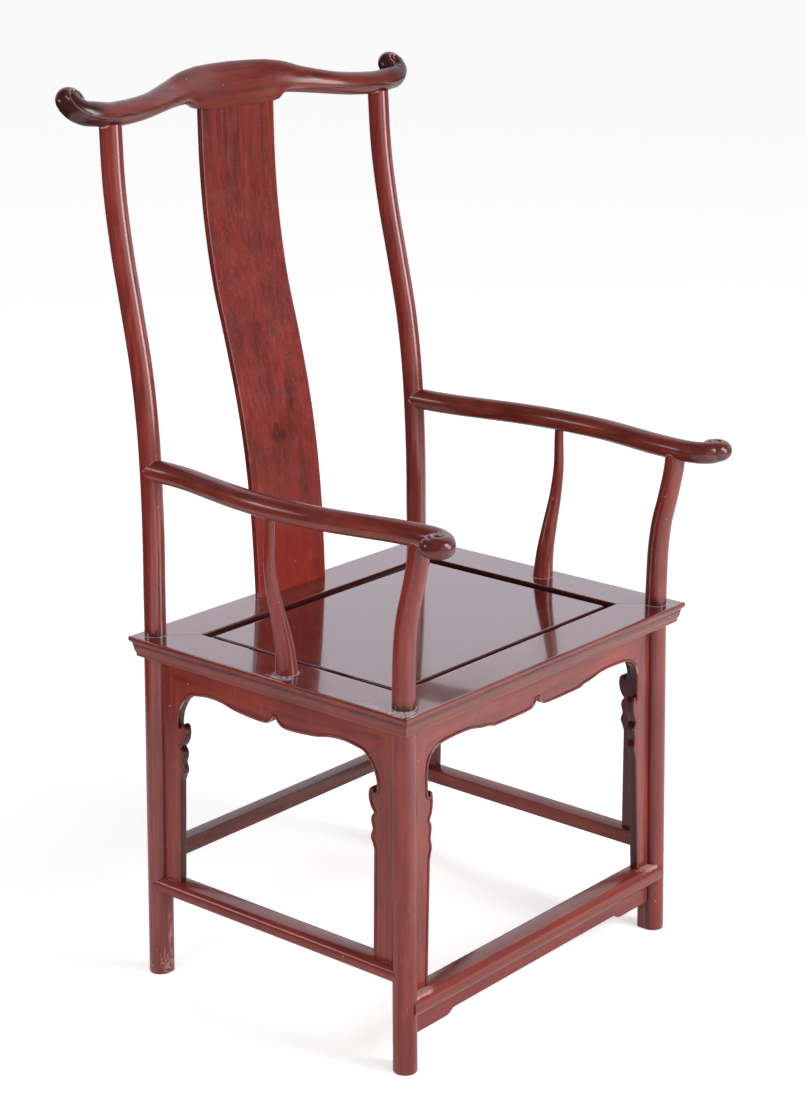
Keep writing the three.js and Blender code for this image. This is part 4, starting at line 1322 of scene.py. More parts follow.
    def _front(self) -> Piece:
        """Model the right front post.

        Returns:
            The post, from the floor through the gooseneck to the arm.
        """
        stations = [
            Vector((
                lerp(PLAN.post_x, self.neck_top.x, rise), lerp(-PLAN.front_post, self.neck_top.y, sweep),
                lerp(PLAN.seat_height, PLAN.arm_height, rise),
            ))
            for rise, sweep in zip(self.neck_rises, self.neck_sweeps)
        ]
        radii = [lerp(PLAN.neck_radius, self.neck_top_radius, rise) for rise in self.neck_rises]
        rings = self._leg_rings(PLAN.front_leg) + self._upper_rings(stations, radii)
        return loft("right_front_post_finish", rings, marks=self._marks(PLAN.front_leg, rings))

    def _side(self) -> Piece:
        """Model the right side post.

        Returns:
            The post, stout at the seat and thin at the arm.
        """
        stations = [
            Vector((
                lerp(PLAN.side_post_x, self.side_top.x, sweep), PLAN.side_post_y,
                lerp(PLAN.seat_height - self.root_sink, PLAN.arm_height, rise),
            ))
            for rise, sweep in zip(self.neck_rises, self.side_sweeps)
        ]
        radii = [lerp(PLAN.side_post_radius, self.side_top_radius, taper) for taper in self.side_tapers]
        return loft("right_side_post_finish", self._upper_rings(stations, radii))

    def build(self) -> None:
        """Build and dress all posts."""
        crest = Vector((PLAN.crest_post_x, PLAN.crest_post_back, PLAN.crest_height))
        lines = [
            JointLine(centre, axis, radius, self.line_width, strength=self.line_strength)
            for centre, axis, radius in (
                (crest, Axis.X, PLAN.crest_radius), (self.neck_top, Axis.Y, PLAN.arm_radius),
            )
        ]
        deliver_pair(self._rear(), POST_LACQUER, Axis.Z, lines[:1], self.foot_marks)
        deliver_pair(self._front(), FRAME_LACQUER, Axis.Z, lines[1:])
        deliver_pair(self._side(), FRAME_LACQUER, Axis.Z)


@dataclass(frozen=True)
class Knob:
    """Curled end of a rail: a rounded drum with a raised spiral on both of its faces."""

    centre: Vector
    axis: Vector
    start: Vector
    radius: float
    thickness: float
    handed: int = 1
    turns: float = 1.6
    outer_share: float = 0.7
    inner_share: float = 0.14
    ridge: float = 1.1
    sink: float = 2.2
    around: int = 96

    def _gap(self, reach: float, turn: float) -> float:
        """Signed distance from a point of the face to the spiral.

        Args:
            reach: Distance from the middle of the face.
            turn: Angle from the start of the spiral.

        Returns:
            The distance to the nearest lap, negative outside the outermost one.
        """
        gaps = []
        for lap in range(3):
            whole = turn / (2 * math.pi) + lap
            if whole <= self.turns:
                share = lerp(self.outer_share, self.inner_share, whole / self.turns)
                gaps.append(self.radius * share - reach)
        nearest = min(gaps, key=abs)
        return nearest if gaps[0] > 0 else gaps[0]

    def _face_drop(self, reach: float, turn: float) -> float:
        """Depth of the carved face below the rim.

        Args:
            reach: Distance from the middle of the face.
            turn: Angle from the start of the spiral.

        Returns:
            The depth: none on the ridge and outside it.
        """
        gap = self._gap(reach, turn)
        if gap <= 0.0 and reach > self.radius * self.inner_share:
            outside = turn / (2 * math.pi) < 1.0 and -gap > 0.0
            return 0.0 if outside else self.sink * ease(0.0, 2 * self.ridge, -gap)
        return self.sink * ease(0.3 * self.ridge, 2.2 * self.ridge, abs(gap))

    def side(self) -> Vector:
        """Direction that the spiral first turns to."""
        return self.axis.cross(self.start).normalized() * self.handed

    def rings(self) -> list[Ring]:
        """Rings of points from the middle of one face, over the rim, to the middle of the other."""
        side = self.side()
        half = self.thickness / 2
        edge = half
        inner = self.radius - edge
        flat = [lerp(0.4, inner, step / 14) for step in range(15)]
        bend = [math.pi / 2 * step / 30 for step in range(1, 31)]
        top = [(reach, half) for reach in flat]
        top += [(inner + edge * math.sin(angle), half - edge * (1 - math.cos(angle))) for angle in bend]
        profile = top + [(reach, -height) for reach, height in reversed(top)]
        rings = []
        for reach, height in profile:
            ring = []
            for number in range(self.around):
                turn = 2 * math.pi * number / self.around
                level = height - math.copysign(self._face_drop(reach, turn), height)
                out = self.start * math.cos(turn) + side * math.sin(turn)
                ring.append(self.centre + out * reach + self.axis * level)
            rings.append(ring)
        return rings

    def build(self, name: str, shade: float) -> Piece:
        """Model the knob.

        Args:
            name: Name of the piece.
            shade: Darkness round the drum's side, less on its faces: old polish and painted dark reflection.

        Returns:
            The knob, with its marks.
        """
        drum = loft(name, self.rings())
        # Darker round the drum's side with old polish and painted dark reflection, darker in the sunk face by
        # depth
        paint(drum, "dirt", lambda point: max(shade * self._rim(point), self.shade_and_grime(point)))
        paint(drum, "glint_and_wax", self.pale)
        return drum

    def _rim(self, point: Vector) -> float:
        """1 round the drum, less on its faces."""
        level = abs(self._polar(point)[2])
        half = self.thickness / 2
        return lerp(1.0, 0.35, ease(half - 5.0, half, level))

    def _polar(self, point: Vector) -> tuple[float, float, float]:
        """Reach, angle and height of a point about the knob's axis."""
        offset = point - self.centre
        level = offset.dot(self.axis)
        flat = offset - self.axis * level
        turn = math.atan2(flat.dot(self.side()), flat.dot(self.start)) % (2 * math.pi)
        return flat.length, turn, level

    def shade_and_grime(self, point: Vector) -> float:
        """Darker in the sunk parts of the knob's faces by their depth, from 0 to 1: old polish and painted shade.
        """
        reach, turn, level = self._polar(point)
        if reach > self.radius or abs(level) < 0.3 * self.thickness:
            return 0.0
        return min(1.0, self._face_drop(reach, turn) / self.sink)

    def pale(self, point: Vector) -> float:
        """Paler line on the ridge of the spiral, from 0 to 1."""
        reach, turn, level = self._polar(point)
        if reach > self.radius or abs(level) < 0.25 * self.thickness:
            return 0.0
        return 0.7 * math.exp(-((self._gap(reach, turn) / self.ridge) ** 2))


@dataclass(frozen=True)
class CrestRail:
    """Yoke-shaped top rail with a headrest in the middle and a curl at each end."""

    sides: int = 96
    bow: float = 39.0
    rise: float = 16.0
    half_height: float = 30.5
    half_depth: float = 16.0
    stations: Shares = (
        (0, 1, 1, 1), (0.14, 0.98, 0.985, 0.968), (0.26, 0.91, 0.985, 0.875), (0.36, 0.84, 1.01, 0.57),
        (0.48, 0.7, 0.74, 0.25), (0.593, 0.47, 0.484, 0.09), (0.704, 0.26, 0.2475, 0), (0.815, 0.13, 0.08, 0),
        (0.926, 0.04, 0, 0),
    )
    headrest: Shares = (
        (1, 0), (0.95, 0.4), (0.78, 0.76), (0.5, 0.95), (0.15, 1), (-0.15, 0.93), (-0.45, 0.7), (-0.68, 0.4),
        (-0.85, 0), (-0.95, -0.5), (-1, -0.97), (-0.55, -1), (0, -1), (0.4, -0.92), (0.76, -0.7), (0.95, -0.36),
    )
    ledge: Shares = (
        (1, 0), (0.95, 0.4), (0.78, 0.76), (0.5, 0.95), (0.15, 1), (-0.15, 0.93), (-0.45, 0.7), (-0.68, 0.4),
        (-0.82, 0.1), (-0.91, -0.18), (-0.96, -0.46), (-0.82, -0.52), (-0.8, -0.7), (-0.5, -0.78),
        (0.5, -0.74), (0.95, -0.36),
    )
    arris: int = 10
    tab_end: float = 80.0
    ledge_start: float = 104.0
    ridge_runs: tuple[float, ...] = (100.0, 150.0, 220.0, 260.0, 290.0, 320.0, 350.0)
    ridge_turns: tuple[float, ...] = (225.0, 208.0, 187.0, 173.0, 160.0, 140.0, 110.0)
    ridge_step: float = 1.4
    # Darkness towards the curled ends and round the knobs: old polish and painted dark reflection
    end_shade: float = 0.8
    knob_out: float = 52.0
    knob_back: float = 18.0
    knob_rise: float = 20.0
    knob_radius: float = 20.0
    knob_thickness: float = 29.0
    knob_tilt: float = math.radians(42.0)
    curl: Shares = ((-1.2, -1.24), (-0.52, -1.1), (0.02, -0.68), (0.2, 0))

    def _tilt(self, share: float) -> Vector:
        """Upward direction of the section, leaning forwards towards the knob."""
        return Vector((0.0, -math.sin(self.knob_tilt * share), math.cos(self.knob_tilt * share)))

    def _section(self, shares: Shares) -> Outline:
        """Section with its sharp lower front arris.

        Args:
            shares: Its points as shares of the headrest's half sizes.

        Returns:
            The points, from the back over the top to the front and the underside.
        """
        points = shares[self.arris:] + shares[:self.arris + 1]
        steps = self.sides // len(shares)
        curve = flat_curve(points, steps)[:-1]
        shift = self.arris * steps
        return curve[-shift:] + curve[:-shift]

    def _ridge_turn(self, run: float) -> float:
        """Angle of the carved ridge round the rail, in degrees, at a distance along it."""
        runs = self.ridge_runs
        for low, high, first, last in zip(runs, runs[1:], self.ridge_turns, self.ridge_turns[1:]):
            if run < high:
                return lerp(first, last, max(run - low, 0.0) / (high - low))
        return self.ridge_turns[-1]

    def _round_section(self, run: float) -> Outline:
        """Round section with the rail standing a little proud above the carved ridge.

        Args:
            run: Distance along the rail from its middle.

        Returns:
            The points, in millimetres, with the ridge at the arris's number.
        """
        ridge = self._ridge_turn(run)
        number = self.arris * self.sides // len(self.headrest)
        points = []
        for index in range(self.sides):
            if index <= number:
                turn = ridge * index / number
                drop = 0.0
            else:
                turn = lerp(ridge, 360.0, (index - number) / (self.sides - number))
                drop = self.ridge_step * (1.0 - ease(ridge + 30.0, ridge + 80.0, turn))
            radius = PLAN.crest_radius - drop
            angle = math.radians(turn)
            points.append((radius * math.cos(angle), radius * math.sin(angle)))
        return points

    def _knob(self) -> Knob:
        """The right knob."""
        centre = Vector((
            PLAN.crest_post_x + self.knob_out, PLAN.crest_post_back + self.knob_back,
            PLAN.crest_height + self.knob_rise,
        ))
        return Knob(centre, self._tilt(1.0), ALONG_X, self.knob_radius, self.knob_thickness, -1)

    def _half(self) -> list[Ring]:
        """Rings from the middle of the rail to the end of the right curl."""
        knob = self._knob()
        backwards = -ALONG_X.cross(knob.axis)
        post = Vector((PLAN.crest_post_x, PLAN.crest_post_back, PLAN.crest_height))
        centres = [
            Vector((x * post.x, post.y + bow * self.bow, post.z + rise * self.rise))
            for x, bow, rise, _ in self.stations
        ]
        shapes = [Vector((head, 0.0, 0.0)) for *_, head in self.stations]
        centres.append(post)
        shapes.append(Vector((0.0, 0.3, 0.0)))
        for out, along in self.curl:
            centres.append(knob.centre + ALONG_X * (out * knob.radius) + backwards * (along * knob.radius))
            shapes.append(Vector((0.0, 1.0, 0.0)))
        steps = 12
        line = smooth(centres, steps)
        blends = smooth(shapes, steps)
        ways = tangents(line)
        ways[0] = ALONG_X
        runs = [0.0]
        for start, stop in zip(line, line[1:]):
            runs.append(runs[-1] + (stop - start).length)
        return [self._ring(*station) for station in zip(line, blends, ways, runs)]

    def _ring(self, centre: Vector, blend: Vector, way: Vector, run: float) -> Ring:
        """Ring between the headrest's section, the ledge's and the round one, square to the rail.

        Args:
            centre: Middle of the rail.
            blend: Share of the headrest, and share of the tilt.
            way: Direction of the rail.
            run: Distance along the rail from its middle.

        Returns:
            The ring's points.
        """
        up = self._tilt(blend.y)
        back = up.cross(way).normalized()
        up = way.cross(back).normalized()
        cut = min(max((abs(centre.x) - self.tab_end) / (self.ledge_start - self.tab_end), 0.0), 1.0)
        ring = []
        for full, low, plain in zip(
            self._section(self.headrest), self._section(self.ledge), self._round_section(run),
        ):
            across = lerp(plain[0], lerp(full[0], low[0], cut) * self.half_depth, blend.x)
            above = lerp(plain[1], lerp(full[1], low[1], cut) * self.half_height, blend.x)
            ring.append(centre + back * across + up * above)
        return ring

    def _marks(self, rings: Sequence[Ring]) -> Marks:
        """Painted dark reflection and old polish at the ends, painted shade under the ridge and glint on its lip.

        Args:
            rings: The rail's rings.

        Returns:
            The attributes' values.
        """
        ridge = self.arris * self.sides // len(self.headrest)
        under = {ridge + 1: 0.7, ridge + 2: 0.6, ridge + 3: 0.35, ridge + 4: 0.2}
        lip = {ridge: 0.4, ridge - 1: 0.1}

        def dirt(ring: int, point: int) -> float:
            """Darkness of a point."""
            run = abs(rings[ring][point].x)
            ends = self.end_shade * ease(268.0, 318.0, run)
            line = under.get(point, 0.0) * ease(self.tab_end, self.ledge_start, run)
            # Painted shade below the ridge towards the ends
            below = 0.7 * ease(230.0, 300.0, run) if point > ridge else 0.0
            return max(ends, line, below)

        def rubbed(ring: int, point: int) -> float:
            """Painted glint on the lip at a point."""
            run = abs(rings[ring][point].x)
            start = ease(self.tab_end, self.ledge_start, run) * (1.0 - ease(115.0, 135.0, run))
            return lip.get(point, 0.0) * max(start, 0.8 * ease(250.0, 300.0, run))

        return {"dirt": dirt, "glint_and_wax": rubbed}

    def build(self) -> None:
        """Build the rail from its two halves and the knobs, and dress it."""
        half = self._half()
        flip = [[Vector((-point.x, point.y, point.z)) for point in ring] for ring in reversed(half[1:])]
        rail = loft("crest_rail_finish", flip + half, smoothing=38.0, marks=self._marks(flip + half))
        drum = self._knob().build("crest_knob", self.end_shade)
        rail = join(rail, drum, mirrored(drum, "crest_knob_left"))
        deliver(rail, CREST_LACQUER, Axis.X)


@dataclass(frozen=True)
class Splat:
    """Single curved board between the seat and the crest rail."""

    width_at_seat: float = 142.0
    width_at_crest: float = 147.0
    thickness: float = 8.5
    arris: float = 1.0
    arris_steps: int = 3
    edge_line: float = 4.0
    front_at_seat: float = 224.5
    front_at_crest: float = 324.0
    sweeps: tuple[float, ...] = (0.0, 0.031, 0.074, 0.169, 0.316, 0.517, 0.738, 0.884, 0.965, 1.0)
    curve_steps: int = 7
    sink: float = 2.0
    top: float = 1196.0
    smoothing: float = 32.0

    def _section(self, half: float) -> Outline:
        """Draw the board's section with round arrises.

        Args:
            half: Half of the board's width.

        Returns:
            The points, across the board and back from its front face.
        """
        corners = []
        for side, back in ((1, 0), (1, 1), (-1, 1), (-1, 0)):
            for step in range(self.arris_steps + 1):
                turn = math.pi / 2 * (step / self.arris_steps)
                outwards = side * (back * 2 - 1) < 0
                slide = math.sin(turn) if outwards else math.cos(turn)
                lift = math.cos(turn) if outwards else math.sin(turn)
                depth = self.arris - self.arris * lift
                across = side * (half - self.arris + self.arris * slide)
                corners.append((across, self.thickness - depth if back else depth))
        inner = half - self.edge_line
        middle = len(corners) // 2
        behind = [(inner, self.thickness), (-inner, self.thickness)]
        return [*corners[:middle], *behind, *corners[middle:], (-inner, 0.0), (inner, 0.0)]

    def build(self) -> None:
        """Build and dress the splat."""
        stations = [
            Vector((
                lerp(self.width_at_seat, self.width_at_crest, rise) / 2,
                lerp(self.front_at_seat, self.front_at_crest, sweep),
                lerp(PLAN.seat_height - self.sink, PLAN.crest_height, rise),
            ))
            for rise, sweep in zip(Posts.back_rises, self.sweeps)
        ]
        rings = [
            [Vector((x, point.y + depth, point.z)) for x, depth in self._section(point.x)]
            for point in smooth(stations, self.curve_steps) if point.z < self.top
        ]
        deliver(loft("back_splat_finish", rings, self.smoothing), RED_LACQUER, Axis.Z)


@dataclass(frozen=True)
class Arms:
    """Bowed arms, each curling into an upright knob in front."""

    sides: int = 40
    curve_steps: int = 12
    ring_count: int = 110
    overhang: float = 35.0
    bow: float = 32.4
    knob_out: float = 26.3
    knob_reach: float = 71.8
    knob_radius: float = 22.5
    knob_height: float = 28.0
    knob_rise: float = 1.5
    run: Shares = (
        (0, 0), (0.035, 0.02), (0.1, 0.06), (0.166, 0.18), (0.27, 0.5), (0.374, 0.8), (0.479, 0.98), (0.56, 1),
        (0.687, 0.88), (0.791, 0.59), (0.895, 0.27), (1, 0.1),
    )
    curl: Shares = ((-1.13, 0.95), (-0.92, 0.42), (-0.5, 0), (0, -0.1))
    root: Vector = Vector((277.0, 229.0, 730.0))
    # Darkness towards the curled end and round the knob: old polish and painted dark reflection
    end_shade: float = 0.45
    shade_start: float = 250.0
    shade_full: float = 285.0
    line_width: float = 1.4
    line_strength: float = 0.5
    # Residue in the notch between the arm and its knob
    notch_share: float = 0.6
    notch_reach: Vector = Vector((6.0, 8.0, 16.0))
    notch_strength: float = 0.6

    def build(self) -> None:
        """Build and dress both arms."""
        middle = Vector((
            PLAN.post_x + self.knob_out, -PLAN.front_post - self.knob_reach,
            PLAN.arm_height + self.knob_rise,
        ))
        knob = Knob(middle, ALONG_Z, ALONG_X, self.knob_radius, self.knob_height)
        length = self.root.y + PLAN.front_post + self.overhang
        centres = [self.root + Vector((bow * self.bow, -share * length, 0.0)) for share, bow in self.run]
        centres += [
            Vector((knob.centre.x + out * knob.radius, knob.centre.y + back * knob.radius, PLAN.arm_height))
            for out, back in self.curl
        ]
        line = evenly(smooth(centres, self.curve_steps), self.ring_count)
        rings = [
            round_ring(centre, ALONG_Z.cross(way).normalized(), ALONG_Z, PLAN.arm_radius, self.sides)
            for centre, way in zip(line, tangents(line))
        ]
        shades = [self.end_shade * ease(self.shade_start, self.shade_full, -centre.y) for centre in line]
        arm = loft("right_armrest_finish", rings, marks={"dirt": lambda ring, _: shades[ring]})
        arm = join(arm, knob.build("arm_knob", self.end_shade))
        notch = knob.centre + Vector((-knob.radius, self.notch_share * knob.radius, 0.0))
        marks = [
            JointLine(self.root, Axis.Z, PLAN.rear_post_radius, self.line_width, strength=self.line_strength),
            Smear(notch, self.notch_reach, self.notch_strength),
        ]
        deliver_pair(arm, CREST_LACQUER, Axis.Y, marks)


@dataclass(frozen=True)
class Arch:
    """Outline of an opening between two legs: apron above and a strip down each leg."""

    shares: Shares
    fall: Shares
    half: float
    centre: float
    edge_out: float
    leaf_reach: float
    leaf_length: float
    leaf_drop: float
    foot_inset: float
    bottom: float
    drop: float = 88.0
    apron_steps: int = 5
    fall_steps: int = 6
    leaf_steps: int = 4

    def apron_line(self, side: int) -> Outline:
        """Lower edge of the apron on one side.

        Args:
            side: -1 or 1.

        Returns:
            The edge's points, from the middle to the mitre.
        """
        points = [
            (self.centre + side * width * self.half, PLAN.underside - drop * self.drop)
            for width, drop in self.shares
        ]
        return flat_curve(points, self.apron_steps)

    def strip_line(self, outward: int, leaf: Shares, cusps: Sequence[int]) -> Outline:
        """Inner edge of a strip from the mitre down, with its carved leaf.

        Args:
            outward: Side of the strip, seen from the middle of the arch.
            leaf: Shares of the leaf's reach and length.
            cusps: Numbers of the leaf points where smooth stretches meet.

        Returns:
            The edge's points of width and height.
        """
        edge = self.centre + outward * (self.half + self.edge_out)
        corner = self.shares[-1]
        fall = [
            (self.centre + outward * width * self.half, PLAN.underside - drop * self.drop)
            for width, drop in (corner, *self.fall)
        ]
        points = [
            (
                edge - outward * reach * self.leaf_reach,
                PLAN.underside - self.leaf_drop - drop * self.leaf_length,
            )
            for reach, drop in leaf
        ]
        line = flat_curve([*fall, points[0]], self.fall_steps)[:-1]
        for first, last in zip(cusps, cusps[1:]):
            line += flat_curve(points[first:last + 1], self.leaf_steps)[:-1]
        foot = edge - outward * self.foot_inset
        return [*line, points[-1], (foot, self.bottom - SINK)]


LEAF = (
    (0, 0), (0.1, 0.065), (0.35, 0.065), (0.44, 0.012), (0.62, 0), (0.88, 0.035), (1, 0.12), (0.95, 0.22),
    (0.7, 0.33), (0.32, 0.41), (0.6, 0.47), (0.66, 0.55), (0.45, 0.68), (0.68, 0.82), (0.45, 0.91), (0.25, 1),
)
LEAF_CUSPS = (0, 9, 12, 15)
FRONT_ARCH = Arch(
    shares=(
        (0, 0.386), (0.03, 0.489), (0.051, 0.523), (0.072, 0.54), (0.361, 0.545), (0.412, 0.54),
        (0.446, 0.511), (0.514, 0.489), (0.616, 0.4375), (0.713, 0.426), (0.807, 0.432), (0.892, 0.4545),
        (0.934, 0.5), (0.962, 0.55),
    ),
    fall=((0.983, 0.62), (0.995, 0.72), (1, 0.88)),
    half=235.5, centre=0.0, edge_out=0.0, leaf_reach=10.0, leaf_length=95.0, leaf_drop=98.0,
    foot_inset=-5.0, bottom=PLAN.footrest_top,
)
SIDE_ARCH = Arch(
    shares=(
        (0, 0.398), (0.035, 0.49), (0.087, 0.545), (0.26, 0.545), (0.324, 0.534), (0.428, 0.511),
        (0.526, 0.466), (0.624, 0.443), (0.7225, 0.443), (0.821, 0.4716), (0.884, 0.5), (0.925, 0.56),
    ),
    fall=((0.966, 0.66), (0.994, 0.76), (1.015, 0.88)),
    half=173.0, centre=1.5, edge_out=4.0, leaf_reach=14.0, leaf_length=84.0, leaf_drop=88.5,
    foot_inset=2.0, bottom=PLAN.side_stretcher_top,
)

Place = Callable[[float, float, float], Vector]


@dataclass(frozen=True)
class Aprons:
    """Carved boards of the arches: aprons, strips and the thin apron under the footrest."""

    thickness: float = 11.0
    arris: float = 0.7
    front_out: float = 1.5
    side_out: float = 3.0
    bead_width: float = 4.4
    bead_height: float = 1.5
    mitre_gap: float = 0.15
    notch_rings: int = 12
    back_drop: float = 45.0

    def _across(self, leg: Leg, face_out: float) -> Place:
        """Place on a board that leans with the front or the rear legs, its depth from the face inwards."""
        outward = math.copysign(1.0, leg.seat.y)

        def place(width: float, height: float, depth: float) -> Vector:
            """Point of the board."""
            y = PLAN.leg_centre(leg, height).y + outward * (face_out - depth)
            return Vector((width, y, height))

        return place

    def _along(self, width: float, height: float, depth: float) -> Vector:
        """Place on a board that leans with the legs of the right side."""
        front = PLAN.leg_centre(PLAN.front_leg, height)
        rear = PLAN.leg_centre(PLAN.rear_leg, height)
        share = (width - front.y) / (rear.y - front.y)
        return Vector((lerp(front.x, rear.x, share) + self.side_out - depth, width, height))

    def _board(
        self, name: str, outline: Outline, place: Place, mitres: Sequence[int] = (),
    ) -> Piece:
        """Board with softened arrises.

        Args:
            name: Name of the piece.
            outline: Its outline in width and height.
            place: Puts a point of width, height and depth on the board.
            mitres: Numbers of the outline's edges that stay sharp.

        Returns:
            The board, its cut edges darker than its faces: painted shade.
        """
        arris = self.arris
        flat = inset(outline, 1.7 * arris, mitres)
        small = inset(outline, arris, mitres)
        soft = inset(outline, 0.3 * arris, mitres)
        back = self.thickness
        # Outline, depth and darkness of each layer; the darkness is painted shade on the cut edges and the back
        # face
        layers = (
            (flat, 0.0, 0.0), (small, 0.0, 0.0), (soft, 0.3 * arris, 0.0), (outline, arris, 0.4),
            (outline, 2.5 * arris, 0.8), (outline, back - arris, 0.8), (soft, back - 0.3 * arris, 0.6),
            (small, back, 0.3), (flat, back, 0.3),
        )
        rings = [[place(x, z, depth) for x, z in shape] for shape, depth, _ in layers]
        return loft(name, rings, smoothing=50.0, marks={"dirt": lambda ring, _: layers[ring][2]})

    def _bead(self, line: Outline, place: Place, wood: int) -> Piece:
        """Raised bead along an edge.

        Args:
            line: The edge, in order.
            place: Puts a point on the board.
            wood: 1 where the wood lies to the left of the line, -1 to the right.

        Returns:
            The bead, a closed mesh sunk into the board's face.
        """
        section = [(0.12, 2.0), (0.12, -0.1)]
        for step in range(7):
            turn = math.pi * step / 6
            section.append((
                self.bead_width * (0.53 - 0.47 * math.cos(turn)), -self.bead_height * math.sin(turn) - 0.1,
            ))
        section.append((self.bead_width, 2.0))
        points = [Vector((x, z, 0.0)) for x, z in line]
        rings = []
        for point, way in zip(points, tangents(points)):
            inwards = Vector((-way.y, way.x, 0.0)) * wood
            rings.append([place(*(point + inwards * off).xy, depth) for off, depth in section])
        # Painted glints on the bead where it turns steep near the notch, and painted shade in the creases where
        # it meets the board
        shine = {2: 0.5, 3: 0.9, 4: 0.6}
        glints = [ease(0.35, 0.75, abs(way.y)) * ease(3.0, 9.0, index + 4.0) for index, way in
                  enumerate(tangents(points))]
        marks = {
            "glint_and_wax": lambda ring, side: shine.get(side, 0.0) * glints[ring] if ring < self.notch_rings else 0.0,
            "dirt": lambda _, side: 0.7 if side in (1, 2, 9) else 0.1,
        }
        return loft("bead", rings, smoothing=60.0, marks=marks)

    def _apron(self, name: str, arch: Arch, low: float, high: float, place: Place) -> Piece:
        """Apron from leg to leg with mitred ends and a bead along its arch."""
        right = arch.apron_line(1)
        left = arch.apron_line(-1)
        line = left[::-1][:-1] + right
        top = PLAN.underside - 0.1
        board = self._board(name, [(low, top), *line, (high, top)], place, (0, len(line)))
        beads = [self._bead(left, place, -1), self._bead(right, place, 1)]
        return join(board, *beads)

    def _strip(
        self, name: str, arch: Arch, outward: int, face: Callable[[float], float], place: Place,
    ) -> Piece:
        """Strip down a leg with its carved leaf and a bead along its edge."""
        line = arch.strip_line(outward, LEAF, LEAF_CUSPS)
        corner = line[0]
        top = PLAN.underside - 0.1
        gap = self.mitre_gap
        slope = (top - corner[1]) / abs(face(top) + outward - corner[0])
        outline = [
            (corner[0] + outward * gap, corner[1]), *line[1:],
            (face(arch.bottom) + outward, arch.bottom - 1.0),
            (face(top) + outward, top - gap * slope),
        ]
        board = self._board(name, outline, place, (len(outline) - 1,))
        return join(board, self._bead(line[1:], place, outward))

    def build(self) -> None:
        """Build and dress all boards of the arches."""
        front = self._across(PLAN.front_leg, self.front_out)
        back = self._across(PLAN.rear_leg, self.thickness / 2)
        top = PLAN.underside
        side_x = PLAN.inner_x(top) + 1.0
        deliver(self._apron("front_apron_finish", FRONT_ARCH, -side_x, side_x, front), FRAME_LACQUER, Axis.X)
        side = self._apron(
            "right_apron_finish", SIDE_ARCH, PLAN.inner_front(top) - 1.0, PLAN.inner_rear(top) + 1.0, self._along,
        )
        scuffs = [
            Scuff(Vector((-297.0, 60.0, 446.0)), Vector((9.0, 34.0, 12.0)), 1.0),
            Scuff(Vector((-297.0, -8.0, 440.0)), Vector((9.0, 22.0, 8.0)), 1.0),
        ]
        deliver_pair(side, FRAME_LACQUER, Axis.Y, (), scuffs)
        strip = self._strip("front_right_strip_finish", FRONT_ARCH, 1, PLAN.inner_x, front)
        deliver_pair(strip, FRAME_LACQUER, Axis.Z)
        for name, outward, face in (
            ("right_front_strip", -1, PLAN.inner_front), ("right_rear_strip", 1, PLAN.inner_rear),
        ):
            strip = self._strip(f"{name}_finish", SIDE_ARCH, outward, face, self._along)
            deliver_pair(strip, FRAME_LACQUER, Axis.Z)
        low = top - self.back_drop
        outline = [(-side_x, low), (side_x, low), (side_x, top), (-side_x, top)]
        deliver(self._board("back_apron_finish", outline, back), FRAME_LACQUER, Axis.X)
        deliver(self._foot_apron(front), FRAME_LACQUER, Axis.X)

    def _foot_apron(self, place: Place) -> Piece:
        """Thin apron under the footrest, raised in the middle between two ogees."""
        bottom = 45.0
        top = 78.5
        half = PLAN.inner_x(bottom) + 0.5
        start = half - 65.0
        ogee = flat_curve([(start - run * 21.0, bottom + rise * 7.0) for run, rise in (
            (0, 0), (0.3, 0.06), (0.55, 0.3), (0.75, 0.72), (0.88, 0.92), (1, 1),
        )], 4)
        flip = [(-x, z) for x, z in ogee]
        outline = [(-half, bottom), *flip, *reversed(ogee), (half, bottom), (half, top), (-half, top)]
        return self._board("footrest_apron_finish", outline, place)


